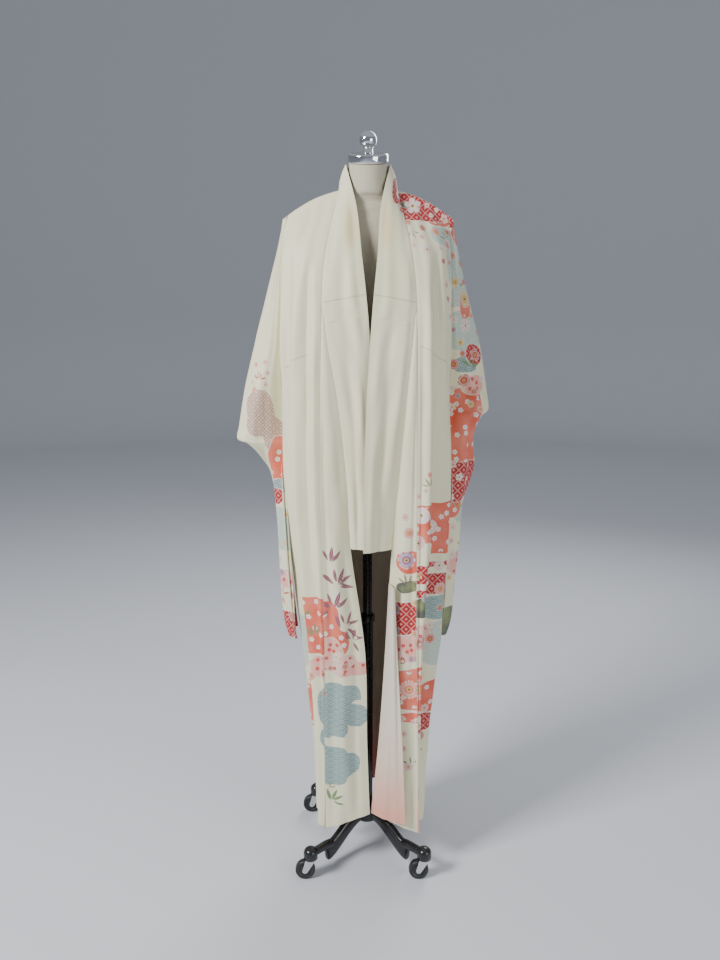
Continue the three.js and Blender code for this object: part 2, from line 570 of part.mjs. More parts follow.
function garment() {
  const sides = [
    { name: "right", side: SIDE_RIGHT, inner: INNER_RIGHT, edge: OVERLAP_RIGHT, collar: COLLAR_RIGHT,
      folds: FRONT_FOLDS_RIGHT, sleeve: SLEEVE_RIGHT, sign: -1 },
    { name: "left", side: SIDE_LEFT, inner: INNER_LEFT, edge: OVERLAP_LEFT, collar: COLLAR_LEFT,
      folds: FRONT_FOLDS_LEFT, sleeve: SLEEVE_LEFT, sign: 1 },
  ];
  for (const s of sides) {
    s.front = frontSheet(s.side, s.inner, s.folds, s.sign);
    s.back = backSheet(s.side, s.inner, s.sign);
    s.overlap = overlapSheet(s.inner, s.edge, s.front);
    const armholes = [s.front.points.map((line) => line[0]), s.back.points.map((line) => line.at(-1))];
    [s.sleeveFront, s.sleeveBack] = sleeveSheets(s.sleeve, s.side, armholes, s.sign);
  }
  const [right, left] = sides;

  // The collar's seam runs up the right front, behind the neck and down the left front.
  const seamPoints = [];
  const edgePoints = [];
  const follow = (s, r) => {
    const onFront = r <= TIP;
    seamPoints.push(onFront ? s.front.points[r][FRONT_COLUMNS] : s.overlap.points[r - TIP][OVERLAP_COLUMNS]);
    edgePoints.push(seam(s.collar, r));
  };
  const behind = (s, c) => {
    const a = ((c / NECK_COLUMNS) * Math.PI) / 2;
    const beside = seam(s.collar, 0);
    seamPoints.push(s.back.points[0][c]);
    edgePoints.push(new THREE.Vector3(
      beside.x * Math.sin(a),
      lerp(beside.y, COLLAR_BEHIND.y, Math.cos(a)),
      lerp(COLLAR_BEHIND.z, beside.z, c / NECK_COLUMNS),
    ));
  };
  for (let r = COLLAR_END; r >= 0; r--) follow(right, r);
  for (let c = NECK_COLUMNS - 1; c >= 0; c--) behind(right, c);
  for (let c = 1; c < NECK_COLUMNS; c++) behind(left, c);
  for (let r = 0; r <= COLLAR_END; r++) follow(left, r);
  const collar = collarSheet(seamPoints, edgePoints);
  const last = collar.rows;

  // Seams
  sew(right.back, down(0, 0, HEM), left.back, down(0, 0, HEM));
  for (const s of sides) {
    sew(s.front, across(0, 0, FRONT_COLUMNS), s.back, across(0, BACK_COLUMNS, NECK_COLUMNS));
    sew(s.front, down(0, SIDE_TOP, HEM), s.back, down(BACK_COLUMNS, SIDE_TOP, HEM));
    sew(s.front, down(0, 1, UNDERARM), s.sleeveFront, down(0, 1, UNDERARM));
    sew(s.back, down(BACK_COLUMNS, 1, UNDERARM), s.sleeveBack, down(0, 1, UNDERARM));
    sew(s.front, down(FRONT_COLUMNS, TIP + 1, HEM), s.overlap, down(0, 1, OVERLAP_ROWS));
  }
  sew(right.back, across(0, NECK_COLUMNS, 0), collar, down(0, COLLAR_END, COLLAR_END + NECK_COLUMNS));
  sew(left.back, across(0, 0, NECK_COLUMNS), collar, down(0, COLLAR_END + NECK_COLUMNS, last - COLLAR_END));
  const overlapRows = COLLAR_END - TIP;
  sew(right.overlap, down(OVERLAP_COLUMNS, 1, overlapRows).reverse(), collar, down(0, 0, overlapRows - 1));
  sew(right.front, down(FRONT_COLUMNS, 0, TIP).reverse(), collar, down(0, overlapRows, COLLAR_END));
  sew(left.front, down(FRONT_COLUMNS, 0, TIP), collar, down(0, last - COLLAR_END, last - overlapRows));
  sew(left.overlap, down(OVERLAP_COLUMNS, 1, overlapRows), collar, down(0, last - overlapRows + 1, last));
  closeSeams();
  for (const s of sides) {
    for (const c of [0, OVERLAP_COLUMNS]) s.overlap.shifts[0][c].copy(s.overlap.shifts[1][c]);
  }

  for (const s of sides) {
    add(`front_${s.name}`, s.front.wall(CLOTH), s === left ? PATTERNED : SILK);
    add(`back_${s.name}`, s.back.wall(CLOTH), SILK);
    add(`overlap_${s.name}`, s.overlap.wall(CLOTH), SILK);
    add(`sleeve_${s.name}_front`, s.sleeveFront.wall(CLOTH), PATTERNED);
    add(`sleeve_${s.name}_back`, s.sleeveBack.wall(CLOTH), PATTERNED);
  }
  const turned = turnedSheet(left.overlap);
  add("overlap_left_turned", turned.wall(TURN_WALL), PATTERNED);
  add("turned_lining", turned.wall(LINING, (TURN_WALL + LINING) / 2 + SEAM_GAP), LINING_SILK);

  // The collar's seams with the over-collar keep the seam's gap.
  const joint = COLLAR_END - OVER_COLLAR_END;
  for (const [name, r0, r1] of [
    ["collar_right", 0, joint], ["over_collar", joint, last - joint], ["collar_left", last - joint, last],
  ]) {
    const piece = collar.cut(0, COLLAR_COLUMNS, r0, r1);
    for (const [end, next] of [[0, 1], [r1 - r0, r1 - r0 - 1]]) {
      const free = (end === 0 ? r0 : r1) % last === 0;
      if (free) continue;
      for (let c = 0; c <= COLLAR_COLUMNS; c++) {
        const inward = piece.points[next][c].clone().sub(piece.points[end][c]).normalize();
        piece.shifts[end][c] = piece.shifts[end][c].clone().addScaledVector(inward, SEAM_GAP / 2);
      }
    }
    add(name, piece.wall(CLOTH), SILK);
  }
}

// The form: level sections, each a rounded outline with its own depth in front and behind.
const FORM_SIDES = 24;
const NECK_TOP = CAP_HEIGHT - CAP_THICKNESS / 2 / Math.cos(NECK_TILT) - SEAM_GAP;
const bodySection = (z, width, front, back, tilt = 0) => ({ z, width, front, back, tilt });
const FORM_SECTIONS = [
  bodySection(905, 136, 84, 80), bodySection(912, 143, 88, 84), bodySection(960, 146, 88, 86),
  bodySection(1040, 140, 84, 84), bodySection(1120, 124, 80, 78), bodySection(1200, 110, 78, 70),
  bodySection(1270, 112, 82, 70), bodySection(1340, 124, 92, 76), bodySection(1400, 134, 98, 82),
  bodySection(1450, 139, 97, 86), bodySection(1510, 145, 88, 88), bodySection(1560, 153, 76, 86),
  bodySection(1604, 161, 66, 70), bodySection(1634, 159, 56, 56), bodySection(1651.5, 146, 46, 48),
  bodySection(1664.5, 122, 42, 43), bodySection(1676.5, 88, 34, 41), bodySection(1688, 62, 37, 43),
  bodySection(1701, 52, 43, 46, 0.1), bodySection(1722, 46, 44, 47, 0.2), bodySection(1752, 45, 44, 45, 0.28),
  bodySection(NECK_TOP, 45, 44, 44, Math.tan(NECK_TILT)),
];

function formGeometry() {
  const vertices = [];
  for (const s of FORM_SECTIONS) {
    for (let i = 0; i < FORM_SIDES; i++) {
      const a = (i / FORM_SIDES) * 2 * Math.PI;
      const y = Math.sin(a) * (Math.sin(a) < 0 ? s.front : s.back);
      vertices.push(s.width * Math.cos(a), y, s.z + s.tilt * y);
    }
  }
  const last = FORM_SECTIONS.length - 1;
  vertices.push(0, 0, FORM_SECTIONS[0].z, 0, 0, FORM_SECTIONS[last].z);
  const bottom = FORM_SECTIONS.length * FORM_SIDES;
  const index = [];
  for (let i = 0; i < FORM_SIDES; i++) {
    const next = (i + 1) % FORM_SIDES;
    for (let k = 0; k < last; k++) {
      const [a, b] = [k * FORM_SIDES + i, k * FORM_SIDES + next];
      index.push(a, b, b + FORM_SIDES, a, b + FORM_SIDES, a + FORM_SIDES);
    }
    index.push(bottom, next, i, bottom + 1, last * FORM_SIDES + i, last * FORM_SIDES + next);
  }
  return facingOut(vertices, index);
}

// A solid turned about Z from a closed outline of [radius, height] places.
function turned(profile, segments = 24) {
  const points = profile.map(([radius, z]) => new THREE.Vector2(radius, z));
  return new THREE.LatheGeometry(points, segments).rotateX(Math.PI / 2);
}

// A quarter circle of [radius, height] places from angle a0 to a1 about a centre.
function arc(radius, z, size, a0, a1, steps = 3) {
  return Array.from({ length: steps + 1 }, (_, i) => {
    const a = THREE.MathUtils.degToRad(lerp(a0, a1, i / steps));
    return [radius + size * Math.cos(a), z + size * Math.sin(a)];
  });
}

// One solid from meshes that touch or cross.
function join(...geometries) {
  const solids = geometries.map((geometry) => {
    const bare = geometry.clone();
    bare.deleteAttribute("normal");
    bare.deleteAttribute("uv");
    const merged = mergeVertices(bare, 1e-3);
    return new wasm.Manifold(new wasm.Mesh({
      numProp: 3,
      vertProperties: new Float32Array(merged.attributes.position.array),
      triVerts: new Uint32Array(merged.index.array),
    }));
  });
  const { vertProperties, triVerts } = solids.reduce((whole, solid) => whole.add(solid)).getMesh();
  const geometry = new THREE.BufferGeometry();
  geometry.setAttribute("position", new THREE.BufferAttribute(vertProperties, 3));
  geometry.setIndex(new THREE.BufferAttribute(triVerts, 1));
  return geometry;
}

function formAndCap() {
  add("form", formGeometry(), LINEN);
  const half = CAP_THICKNESS / 2;
  const rim = 2.5;
  const cap = new THREE.Group();
  cap.position.set(0, 0, CAP_HEIGHT);
  cap.rotation.x = NECK_TILT;
  object.add(cap);
  add("neck_cap", turned([
    [0, -half], ...arc(CAP_RADIUS - rim, -half + rim, rim, -90, 0, 2), ...arc(CAP_RADIUS - rim, half - rim, rim, 0, 90, 2),
    [0, half],
  ], 28), CHROME, cap);
  const ballHeight = TOTAL_HEIGHT - BALL_RADIUS;
  const meet = THREE.MathUtils.radToDeg(Math.asin(STEM_RADIUS / BALL_RADIUS));
  const foot = CAP_HEIGHT + half / Math.cos(NECK_TILT) + STEM_RADIUS * Math.tan(NECK_TILT) + SEAM_GAP;
  add("finial", turned([
    [0, foot], [STEM_RADIUS, foot], ...arc(0, ballHeight, BALL_RADIUS, meet - 90, 90, 8).map(([r, z]) => [Math.max(0, r), z]),
  ]), CHROME);
}

function pole() {
  add("mast", turned([
    [0, MAST_BOTTOM], [MAST_RADIUS, MAST_BOTTOM], [MAST_RADIUS, FORM_BOTTOM - SEAM_GAP],
    [0, FORM_BOTTOM - SEAM_GAP],
  ]), BLACK_PAINT);
  const foot = HUB_TOP + SEAM_GAP;
  add("lower_tube", turned([
    [0, foot], [TUBE_RADIUS, foot], [TUBE_RADIUS, TUBE_TOP], [TUBE_BORE, TUBE_TOP], [TUBE_BORE, foot + 4],
    [0, foot + 4],
  ]), BLACK_PAINT);
  const [low, high] = [TUBE_TOP + SEAM_GAP, TUBE_TOP + SEAM_GAP + COLLAR_HEIGHT];
  const rim = 2.5;
  add("height_collar", turned([
    [TUBE_BORE, low], [COLLAR_RADIUS - rim, low], ...arc(COLLAR_RADIUS - rim, low + rim, rim, -90, 0, 1),
    ...arc(COLLAR_RADIUS - rim, high - rim, rim, 0, 90, 1), [TUBE_BORE, high], [TUBE_BORE, low],
  ]), BLACK_PLASTIC);
}

// One arched leg in side view, [distance from the pole, height].
const LEG_OUTLINE = [
  [0, 80], [42, 76], [78, 58], [112, 33], [138, 17], [153, 16], [161, 27], [164, 56], [190, 57],
  [190, 74], [176, 76], [158, 70], [140, 74], [110, 88], [72, 106], [44, 116], [0, 120],
];

function base() {
  const outline = new THREE.Shape(LEG_OUTLINE.map(([r, z]) => new THREE.Vector2(r, z)));
  const socketRim = 7;
  const pieces = [turned([[0, 78], [HUB_RADIUS, 78], [HUB_RADIUS, HUB_TOP - 4], [HUB_RADIUS - 4, HUB_TOP], [0, HUB_TOP]])];
  for (let k = 0; k < 4; k++) {
    const turn = Math.PI / 4 + (k * Math.PI) / 2;
    const leg = new THREE.ExtrudeGeometry(outline, { depth: LEG_WIDTH - 6, bevelThickness: 3, bevelSize: 3, bevelOffset: -3, bevelSegments: 1 });
    leg.translate(0, 0, -LEG_WIDTH / 2 + 3).rotateX(Math.PI / 2).rotateZ(turn);
    const socket = turned([
      [0, SOCKET_BOTTOM], [SOCKET_RADIUS, SOCKET_BOTTOM], ...arc(SOCKET_RADIUS - socketRim, SOCKET_TOP - socketRim, socketRim, 0, 90, 2),
      [0, SOCKET_TOP],
    ], 16).translate(CASTER_REACH * Math.cos(turn), CASTER_REACH * Math.sin(turn), 0);
    pieces.push(leg, socket);
  }
  add("base", join(...pieces), BLACK_PAINT);
}

// A fork whose swivel axis is its own Z axis and whose wheel trails towards -X.
function forkGeometry() {
  const top = SOCKET_BOTTOM - RUNNING_GAP;
  const inside = WHEEL_WIDTH / 2 + RUNNING_GAP;
  const plate = turned([[0, top - FORK_PLATE], [14, top - FORK_PLATE], [14, top], [0, top]], 14);
  const cheek = new THREE.Shape();
  cheek.moveTo(12, top);
  cheek.lineTo(-13, top);
  cheek.lineTo(-TRAIL - 7, WHEEL_RADIUS);
  cheek.absarc(-TRAIL, WHEEL_RADIUS, 7, Math.PI, 1.85 * Math.PI, false);
  const cheeks = [-1, 1].map((side) => {
    const wall = new THREE.ExtrudeGeometry(cheek, { depth: FORK_PLATE, bevelEnabled: false, curveSegments: 4 });
    return wall.rotateX(Math.PI / 2).translate(0, side > 0 ? inside + FORK_PLATE : -inside, 0);
  });
  const bridge = new THREE.BoxGeometry(20, 2 * inside + 1, FORK_PLATE).translate(0, 0, top - FORK_PLATE / 2);
  const axle = new THREE.CylinderGeometry(AXLE_RADIUS, AXLE_RADIUS, 2 * (inside + FORK_PLATE) + 2, 8)
    .translate(-TRAIL, 0, WHEEL_RADIUS);
  return join(plate, bridge, ...cheeks, axle);
}

// A wheel that stands on one of its flats.
function wheelGeometry() {
  const half = WHEEL_WIDTH / 2;
  const rim = 3;
  const flat = Math.PI / WHEEL_FLATS;
  const radius = WHEEL_RADIUS / Math.cos(flat);
  return turned([
    [WHEEL_BORE, -half], [radius - rim, -half], [radius, -half + rim], [radius, half - rim], [radius - rim, half],
    [WHEEL_BORE, half], [WHEEL_BORE, -half],
  ], WHEEL_FLATS).rotateX(Math.PI / 2).rotateY(flat);
}

// Casters from the front left of the view anticlockwise seen from above, all trailing to the viewer's left
const CASTERS = ["front_right", "front_left", "back_left", "back_right"];

function casters() {
  CASTERS.forEach((name, k) => {
    const turn = (-3 * Math.PI) / 4 + (k * Math.PI) / 2;
    const swivel = new THREE.Group();
    swivel.position.set(CASTER_REACH * Math.cos(turn), CASTER_REACH * Math.sin(turn), 0);
    object.add(swivel);
    add(`caster_fork_${name}`, forkGeometry(), STEEL, swivel);
    const wheel = add(`caster_wheel_${name}`, wheelGeometry(), BLACK_PLASTIC, swivel);
    wheel.position.set(-TRAIL, 0, WHEEL_RADIUS);
  });
}

garment();
formAndCap();
pole();
base();
casters();

// The origin is under the middle of the whole, so the pole stands a little to one side of it.
const whole = new THREE.Box3().setFromObject(object);
object.position.set(-(whole.min.x + whole.max.x) / 2, -(whole.min.y + whole.max.y) / 2, 0);
export default object;
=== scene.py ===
"""A long-sleeved furisode worn open on a limbless dress form with a wheeled stand.

The garment's panels are surfaces of two parameters: u runs across a panel and r runs down it in
levels from the shoulder fold (0) to the hem (24). Each is worked out with numpy as a whole array,
in millimetres round the pole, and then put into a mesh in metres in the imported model's frame.
"right" and "left" are the wearer's sides, so the right side is on the viewer's left.
"""

import json
import logging
import math
from dataclasses import astuple, dataclass, field
from enum import Enum
from typing import Callable, Sequence

import bmesh
import bpy
import numpy as np
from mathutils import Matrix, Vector

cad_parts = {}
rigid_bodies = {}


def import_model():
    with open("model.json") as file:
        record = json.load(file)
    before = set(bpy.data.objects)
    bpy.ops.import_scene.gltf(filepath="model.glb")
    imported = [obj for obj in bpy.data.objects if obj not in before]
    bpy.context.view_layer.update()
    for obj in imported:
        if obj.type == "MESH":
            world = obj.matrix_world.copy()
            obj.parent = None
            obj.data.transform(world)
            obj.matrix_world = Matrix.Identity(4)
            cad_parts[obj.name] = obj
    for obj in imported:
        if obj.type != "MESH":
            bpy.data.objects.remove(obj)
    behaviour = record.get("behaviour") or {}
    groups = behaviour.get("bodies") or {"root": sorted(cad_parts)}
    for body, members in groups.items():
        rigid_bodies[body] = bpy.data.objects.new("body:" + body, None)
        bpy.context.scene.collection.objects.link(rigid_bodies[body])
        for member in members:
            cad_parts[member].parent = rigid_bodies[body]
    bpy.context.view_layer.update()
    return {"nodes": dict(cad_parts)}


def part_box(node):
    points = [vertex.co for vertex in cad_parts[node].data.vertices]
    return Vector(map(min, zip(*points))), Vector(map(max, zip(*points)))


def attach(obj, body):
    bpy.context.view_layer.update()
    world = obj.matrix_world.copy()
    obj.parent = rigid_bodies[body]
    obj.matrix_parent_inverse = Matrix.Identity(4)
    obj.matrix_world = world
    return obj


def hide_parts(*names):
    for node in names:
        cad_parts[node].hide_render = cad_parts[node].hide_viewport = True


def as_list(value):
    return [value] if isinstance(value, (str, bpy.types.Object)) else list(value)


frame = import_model()
LOG = logging.getLogger("furisode")
POLE_X = sum(corner.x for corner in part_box("mast")) / 2
MM = 0.001
TAU = 2 * math.pi
Array = np.ndarray
Point = tuple[float, float, float]


# Numbers on whole arrays

def smooth(t: Array | float) -> Array:
    """An S curve from 0 to 1: t squared times three less twice t, with t held from 0 to 1."""
    t = np.clip(t, 0.0, 1.0)
    return t * t * (3 - 2 * t)


def lerp(a: Array | float, b: Array | float, t: Array | float) -> Array:
    """The straight way from a to b at share t."""
    return a + (b - a) * t


def unit(v: Array) -> Array:
    """Vectors of length one along the last axis."""
    return v / np.maximum(np.linalg.norm(v, axis=-1, keepdims=True), 1e-12)


def along(values: Array, rows: Sequence[float], r: Array) -> Array:
    """A cubic through the rows of a table, with centred slopes.

    Between two rows it is the S curve from one value to the next, plus each end's slope times
    t(1-t)(1-t) and less the other's times tt(1-t).

    Args:
        values: table values, one line for each row of the table.
        rows: the level at which each line stands.
        r: levels wanted.

    Returns:
        One line for each level wanted.
    """
    values, rows, r = np.asarray(values, float), np.asarray(rows, float), np.asarray(r, float)
    last = len(rows) - 1
    before, after = np.maximum(np.arange(last + 1) - 1, 0), np.minimum(np.arange(last + 1) + 1, last)
    slope = (values[after] - values[before]) / (rows[after] - rows[before])[:, None]
    k = np.clip(np.searchsorted(rows, r, side="left") - 1, 0, last - 1)
    step = (rows[k + 1] - rows[k])[:, None]
    t = (r[:, None] - rows[k][:, None]) / step
    bend = t * (1 - t) ** 2 * slope[k] - t * t * (1 - t) * slope[k + 1]
    return lerp(values[k], values[k + 1], t * t * (3 - 2 * t)) + bend * step


# Levels and seam lines of the garment, in millimetres with the pole at X 0 and Y 0

LEVELS = (0, 2, 4, 6, 8, 10, 13, 15, 18, 21, 24)
TIP, UNDERARM, SIDE_TOP, COLLAR_END, HEM = 6, 8, 10, 15, 24


class Side(Enum):
    """The wearer's two sides, with the sign of X."""

    RIGHT = -1
    LEFT = 1

    @property
    def label(self) -> str:
        """The side's word in piece names."""
        return self.name.lower()


SIDE_SEAM = {
    Side.RIGHT: ((-190, 0, 1650), (-204, -22, 1590), (-206, -34, 1520), (-207, -38, 1440),
                 (-210, -32, 1345), (-206, -4, 1210), (-198, 5, 1010), (-182, 8, 860), (-147, 5, 600),
                 (-119, 0, 350), (-108, 0, 120)),
    Side.LEFT: ((190, 0, 1650), (194, -22, 1590), (196, -34, 1520), (198, -38, 1440), (200, -32, 1345),
                (201, -4, 1210), (198, 5, 1010), (188, 8, 860), (160, 5, 600), (133, 0, 350),
                (119, 0, 120)),
}
CENTRE_BACK = ((0, 62, 1702), (0, 100, 1615), (0, 113, 1525), (0, 119, 1440), (0, 118, 1345), (0, 114, 1210),
               (0, 113, 1010), (0, 112, 860), (0, 109, 600), (0, 104, 350), (0, 100, 118))
INNER_SEAM = {
    Side.RIGHT: ((-68, 0, 1706), (-88, -76, 1610), (-102, -110, 1525), (-106, -130, 1442),
                 (-108, -140, 1345), (-112, -138, 1210), (-115, -133, 1010), (-110, -129, 860),
                 (-106, -125, 600), (-108, -121, 350), (-110, -118, 122)),
    Side.LEFT: ((68, 0, 1706), (90, -76, 1610), (104, -110, 1525), (110, -130, 1442), (112, -142, 1345),
                (114, -140, 1210), (116, -136, 1010), (117, -132, 860), (119, -130, 600),
                (127, -129, 350), (131, -128, 114)),
}
FRONT_EDGE = {
    Side.RIGHT: ((-106, -130, 1442), (-94, -141, 1345), (-71, -134, 1210), (-50, -119, 1010),
                 (-42, -109, 860), (-7, -112, 600), (-1, -107, 350), (6, -101, 150)),
    Side.LEFT: ((110, -130, 1442), (101, -142, 1345), (88, -137, 1210), (70, -125, 1010),
                (58, -112, 860), (45, -106, 600), (29, -99, 350), (10, -93, 150)),
}
COLLAR_EDGE = {
    Side.RIGHT: ((-52, -6, 1764), (-27, -66, 1660), (-15, -112, 1548), (-5, -134, 1458), (3, -141, 1352),
                 (2, -138, 1210), (0, -133, 1010), (-3, -127, 862)),
    Side.LEFT: ((52, -6, 1764), (29, -66, 1660), (21, -114, 1548), (12, -141, 1458), (4, -153, 1352),
                (-4, -155, 1210), (-9, -155, 1010), (-11, -153, 860)),
}
COLLAR_BEHIND = (0, 54, 1768)


def seam(table: Sequence[Point], r: Array, first: int = 0) -> Array:
    """Places on a seam line at the levels r. The table's first line stands at LEVELS[first]."""
    return along(table, LEVELS[first:first + len(table)], r)


# Sheets of cloth

@dataclass(frozen=True)
class Fold:
    """A soft fold down a panel, drifting across it from one share of its width to another."""

    at: float
    end: float
    start: float
    stop: float
    depth: float
    width: float

    def push(self, u: Array, r: Array) -> Array:
        """How far the fold pushes places outwards: a bell across it, faded in and out along it.

        Args:
            u: shares across.
            r: levels.

        Returns:
            Millimetres for each place.
        """
        t = (r - self.start) / (self.stop - self.start)
        inside = (t > 0) & (t < 1)
        fade = smooth(t / 0.25) * smooth((1 - t) / 0.25)
        bell = np.exp(-(((u - lerp(self.at, self.end, np.clip(t, 0, 1))) / self.width) ** 2))
        return np.where(inside, self.depth * fade * bell, 0.0)


@dataclass(frozen=True)
class Pleats:
    """Pleats across a panel: how many, and the most depth, which grows from one level to another."""

    count: float
    depth: float
    start: float
    full: float

    def deepest(self, r: Array) -> Array:
        """The most that each row may be pleated."""
        return self.depth * smooth((r - self.start) / (self.full - self.start))

    def wave(self, u: Array) -> Array:
        """A sine with a full turn for each pleat."""
        return np.sin(TAU * self.count * u)


def outward(base: Callable[[Array], Array], u: Array, step: float = 0.02) -> Array:
    """Level directions square to the rows of a panel, away from the pole.

    The run of a row is the difference of its places a step after and before; turned a quarter
    turn in plan it is the direction, with the sign that points away from the pole.

    Args:
        base: places of the panel for shares u of its width.
        u: shares across.
        step: half the run that is looked at.

    Returns:
        A unit vector for each place.
    """
    run = base(np.minimum(1, u + step)) - base(np.maximum(0, u - step))
    out = unit(np.stack([run[..., 1], -run[..., 0], np.zeros_like(run[..., 0])], -1))
    here = base(u)
    inward = (out[..., :2] * here[..., :2]).sum(-1, keepdims=True) < 0
    return np.where(inward, -out, out)


def pleated(base: Callable[[Array], Array], u: Array, push: Array, wave: Array, width: float,
            deepest: Array) -> Array:
    """Rows pushed out by their folds and then pleated until each is as long as its cut.

    Each row's pleat depth is found by halving: too short a row takes the deeper half.

    Args:
        base: places of the unpleated panel for shares u of its width.
        u: shares across, the same on every row.
        push: how far the folds push each place.
        wave: the pleats, as a wave of height one.
        width: the cut's width.
        deepest: the most that each row may be pleated.

    Returns:
        Places on the grid.
    """
    out, flat = outward(base, u), base(u)
    low, high = np.zeros(len(deepest)), deepest.copy()
    for _ in range(16):
        middle = (low + high) / 2
        places = flat + out * (push + middle[:, None] * wave)[..., None]
        short = np.linalg.norm(np.diff(places, axis=1), axis=-1).sum(1) < width
        low, high = np.where(short, middle, low), np.where(short, high, middle)
    return flat + out * (push + low[:, None] * wave)[..., None]


def surface_normals(places: Array) -> Array:
    """Normals of a grid of places: the run down crossed with the run across."""
    down, across = np.gradient(places, axis=0), np.gradient(places, axis=1)
    return unit(np.cross(down, across))


@dataclass
class Sheet:
    """A sheet of cloth as a grid of places on its middle surface.

    Fields: places in millimetres, shape rows by columns by 3; normals on the side that faces out.
    """

    places: Array
    towards: Callable[[Array], Array] = field(default=lambda p: p * (1, 1, 0))
    normals: Array = field(init=False)

    def __post_init__(self) -> None:
        """Works out the normals and turns them to the side that the cloth faces."""
        self.normals = surface_normals(self.places)
        if (self.normals * self.towards(self.places)).sum() < 0:
            self.normals = -self.normals

    def raised(self, height: Array | float) -> Array:
        """Places at a height above the middle surface."""
        heights = np.broadcast_to(np.asarray(height, float), self.places.shape[:2])
        return self.places + self.normals * heights[..., None]

    def dipped(self, depth: Array) -> "Sheet":
        """The same sheet lowered by a depth, as beside a seam."""
        return Sheet(self.raised(-depth), self.towards)

    def across(self) -> Array:
        """Distance along each row from the first column, in millimetres."""
        steps = np.linalg.norm(np.diff(self.places, axis=1), axis=-1)
        return np.concatenate([np.zeros((len(steps), 1)), np.cumsum(steps, 1)], 1)

    def area(self) -> float:
        """Area of the sheet in square metres: the sum of its cells' run down times run across."""
        down, across = np.diff(self.places, axis=0)[:, :-1], np.diff(self.places, axis=1)[:-1]
        return float(np.linalg.norm(np.cross(down, across), axis=-1).sum() * MM * MM)

    def part(self, rows: slice) -> "Sheet":
        """The same sheet between two rows.

        Args:
            rows: which rows.

        Returns:
            The shorter sheet.
        """
        piece = Sheet(self.places[rows], self.towards)
        piece.normals = self.normals[rows]
        return piece


def quads(rows: int, columns: int, base: int = 0, flip: bool = False) -> Array:
    """Corner numbers of the faces of a grid with rows by columns corners.

    Args:
        rows: corners down.
        columns: corners across.
        base: number of the first corner.
        flip: whether the corners are written the other way round.

    Returns:
        Four corner numbers a face.
    """
    r, c = np.mgrid[0:rows - 1, 0:columns - 1]
    a = base + r * columns + c
    corners = np.stack([a, a + columns, a + columns + 1, a + 1], -1).reshape(-1, 4)
    return corners[:, ::-1] if flip else corners


def rim_loop(rows: int, columns: int) -> Array:
    """Corner numbers once round a grid's edge."""
    grid = np.arange(rows * columns).reshape(rows, columns)
    return np.concatenate([grid[0, :-1], grid[:-1, -1], grid[-1, :0:-1], grid[:0:-1, 0]])


def ring_faces(rings: int, segments: int) -> Array:
    """Corner numbers of the faces between closed rings of places, from the first ring to the last.

    Args:
        rings: how many rings.
        segments: places on each.

    Returns:
        Four corner numbers a face.
    """
    grid = np.arange(rings * segments).reshape(rings, segments)
    after = np.roll(grid, -1, 1)
    return np.stack([grid[:-1], after[:-1], after[1:], grid[1:]], -1).reshape(-1, 4)


def new_mesh(name: str, vertices: Array, faces: Array) -> bpy.types.Object:
    """A smooth mesh object.

    Args:
        name: the piece's name.
        vertices: places in metres.
        faces: corner numbers, one line a face.

    Returns:
        The object, linked to the scene at the origin.
    """
    mesh = bpy.data.meshes.new(name)
    mesh.from_pydata(vertices.tolist(), [], faces.tolist())
    mesh.polygons.foreach_set("use_smooth", np.full(len(faces), True))
    mesh.update()
    piece = bpy.data.objects.new(name, mesh)
    bpy.context.scene.collection.objects.link(piece)
    return piece


def to_frame(places: Array) -> Array:
    """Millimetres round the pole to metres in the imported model's frame."""
    return places.reshape(-1, 3) * MM + (POLE_X, 0, 0)


def mark_sharp(piece: bpy.types.Object, loop: Array, count: int) -> None:
    """Marks the edges once round both faces of a shell as sharp, so that the rim doesn't shade the cloth.

    Args:
        piece: the shell.
        loop: corner numbers once round its outer face.
        count: corners on one face.
    """
    mesh = piece.data
    ends = np.zeros(2 * len(mesh.edges), np.int32)
    mesh.edges.foreach_get("vertices", ends)
    pairs = np.sort(ends.reshape(-1, 2), 1)
    rim = np.sort(np.stack([loop, np.roll(loop, -1)], -1), 1)
    rims = np.concatenate([rim, rim + count])
    size = 2 * count
    sharp = np.isin(pairs[:, 0] * size + pairs[:, 1], rims[:, 0] * size + rims[:, 1])
    mesh.attributes.new("sharp_edge", "BOOLEAN", "EDGE").data.foreach_set("value", sharp)


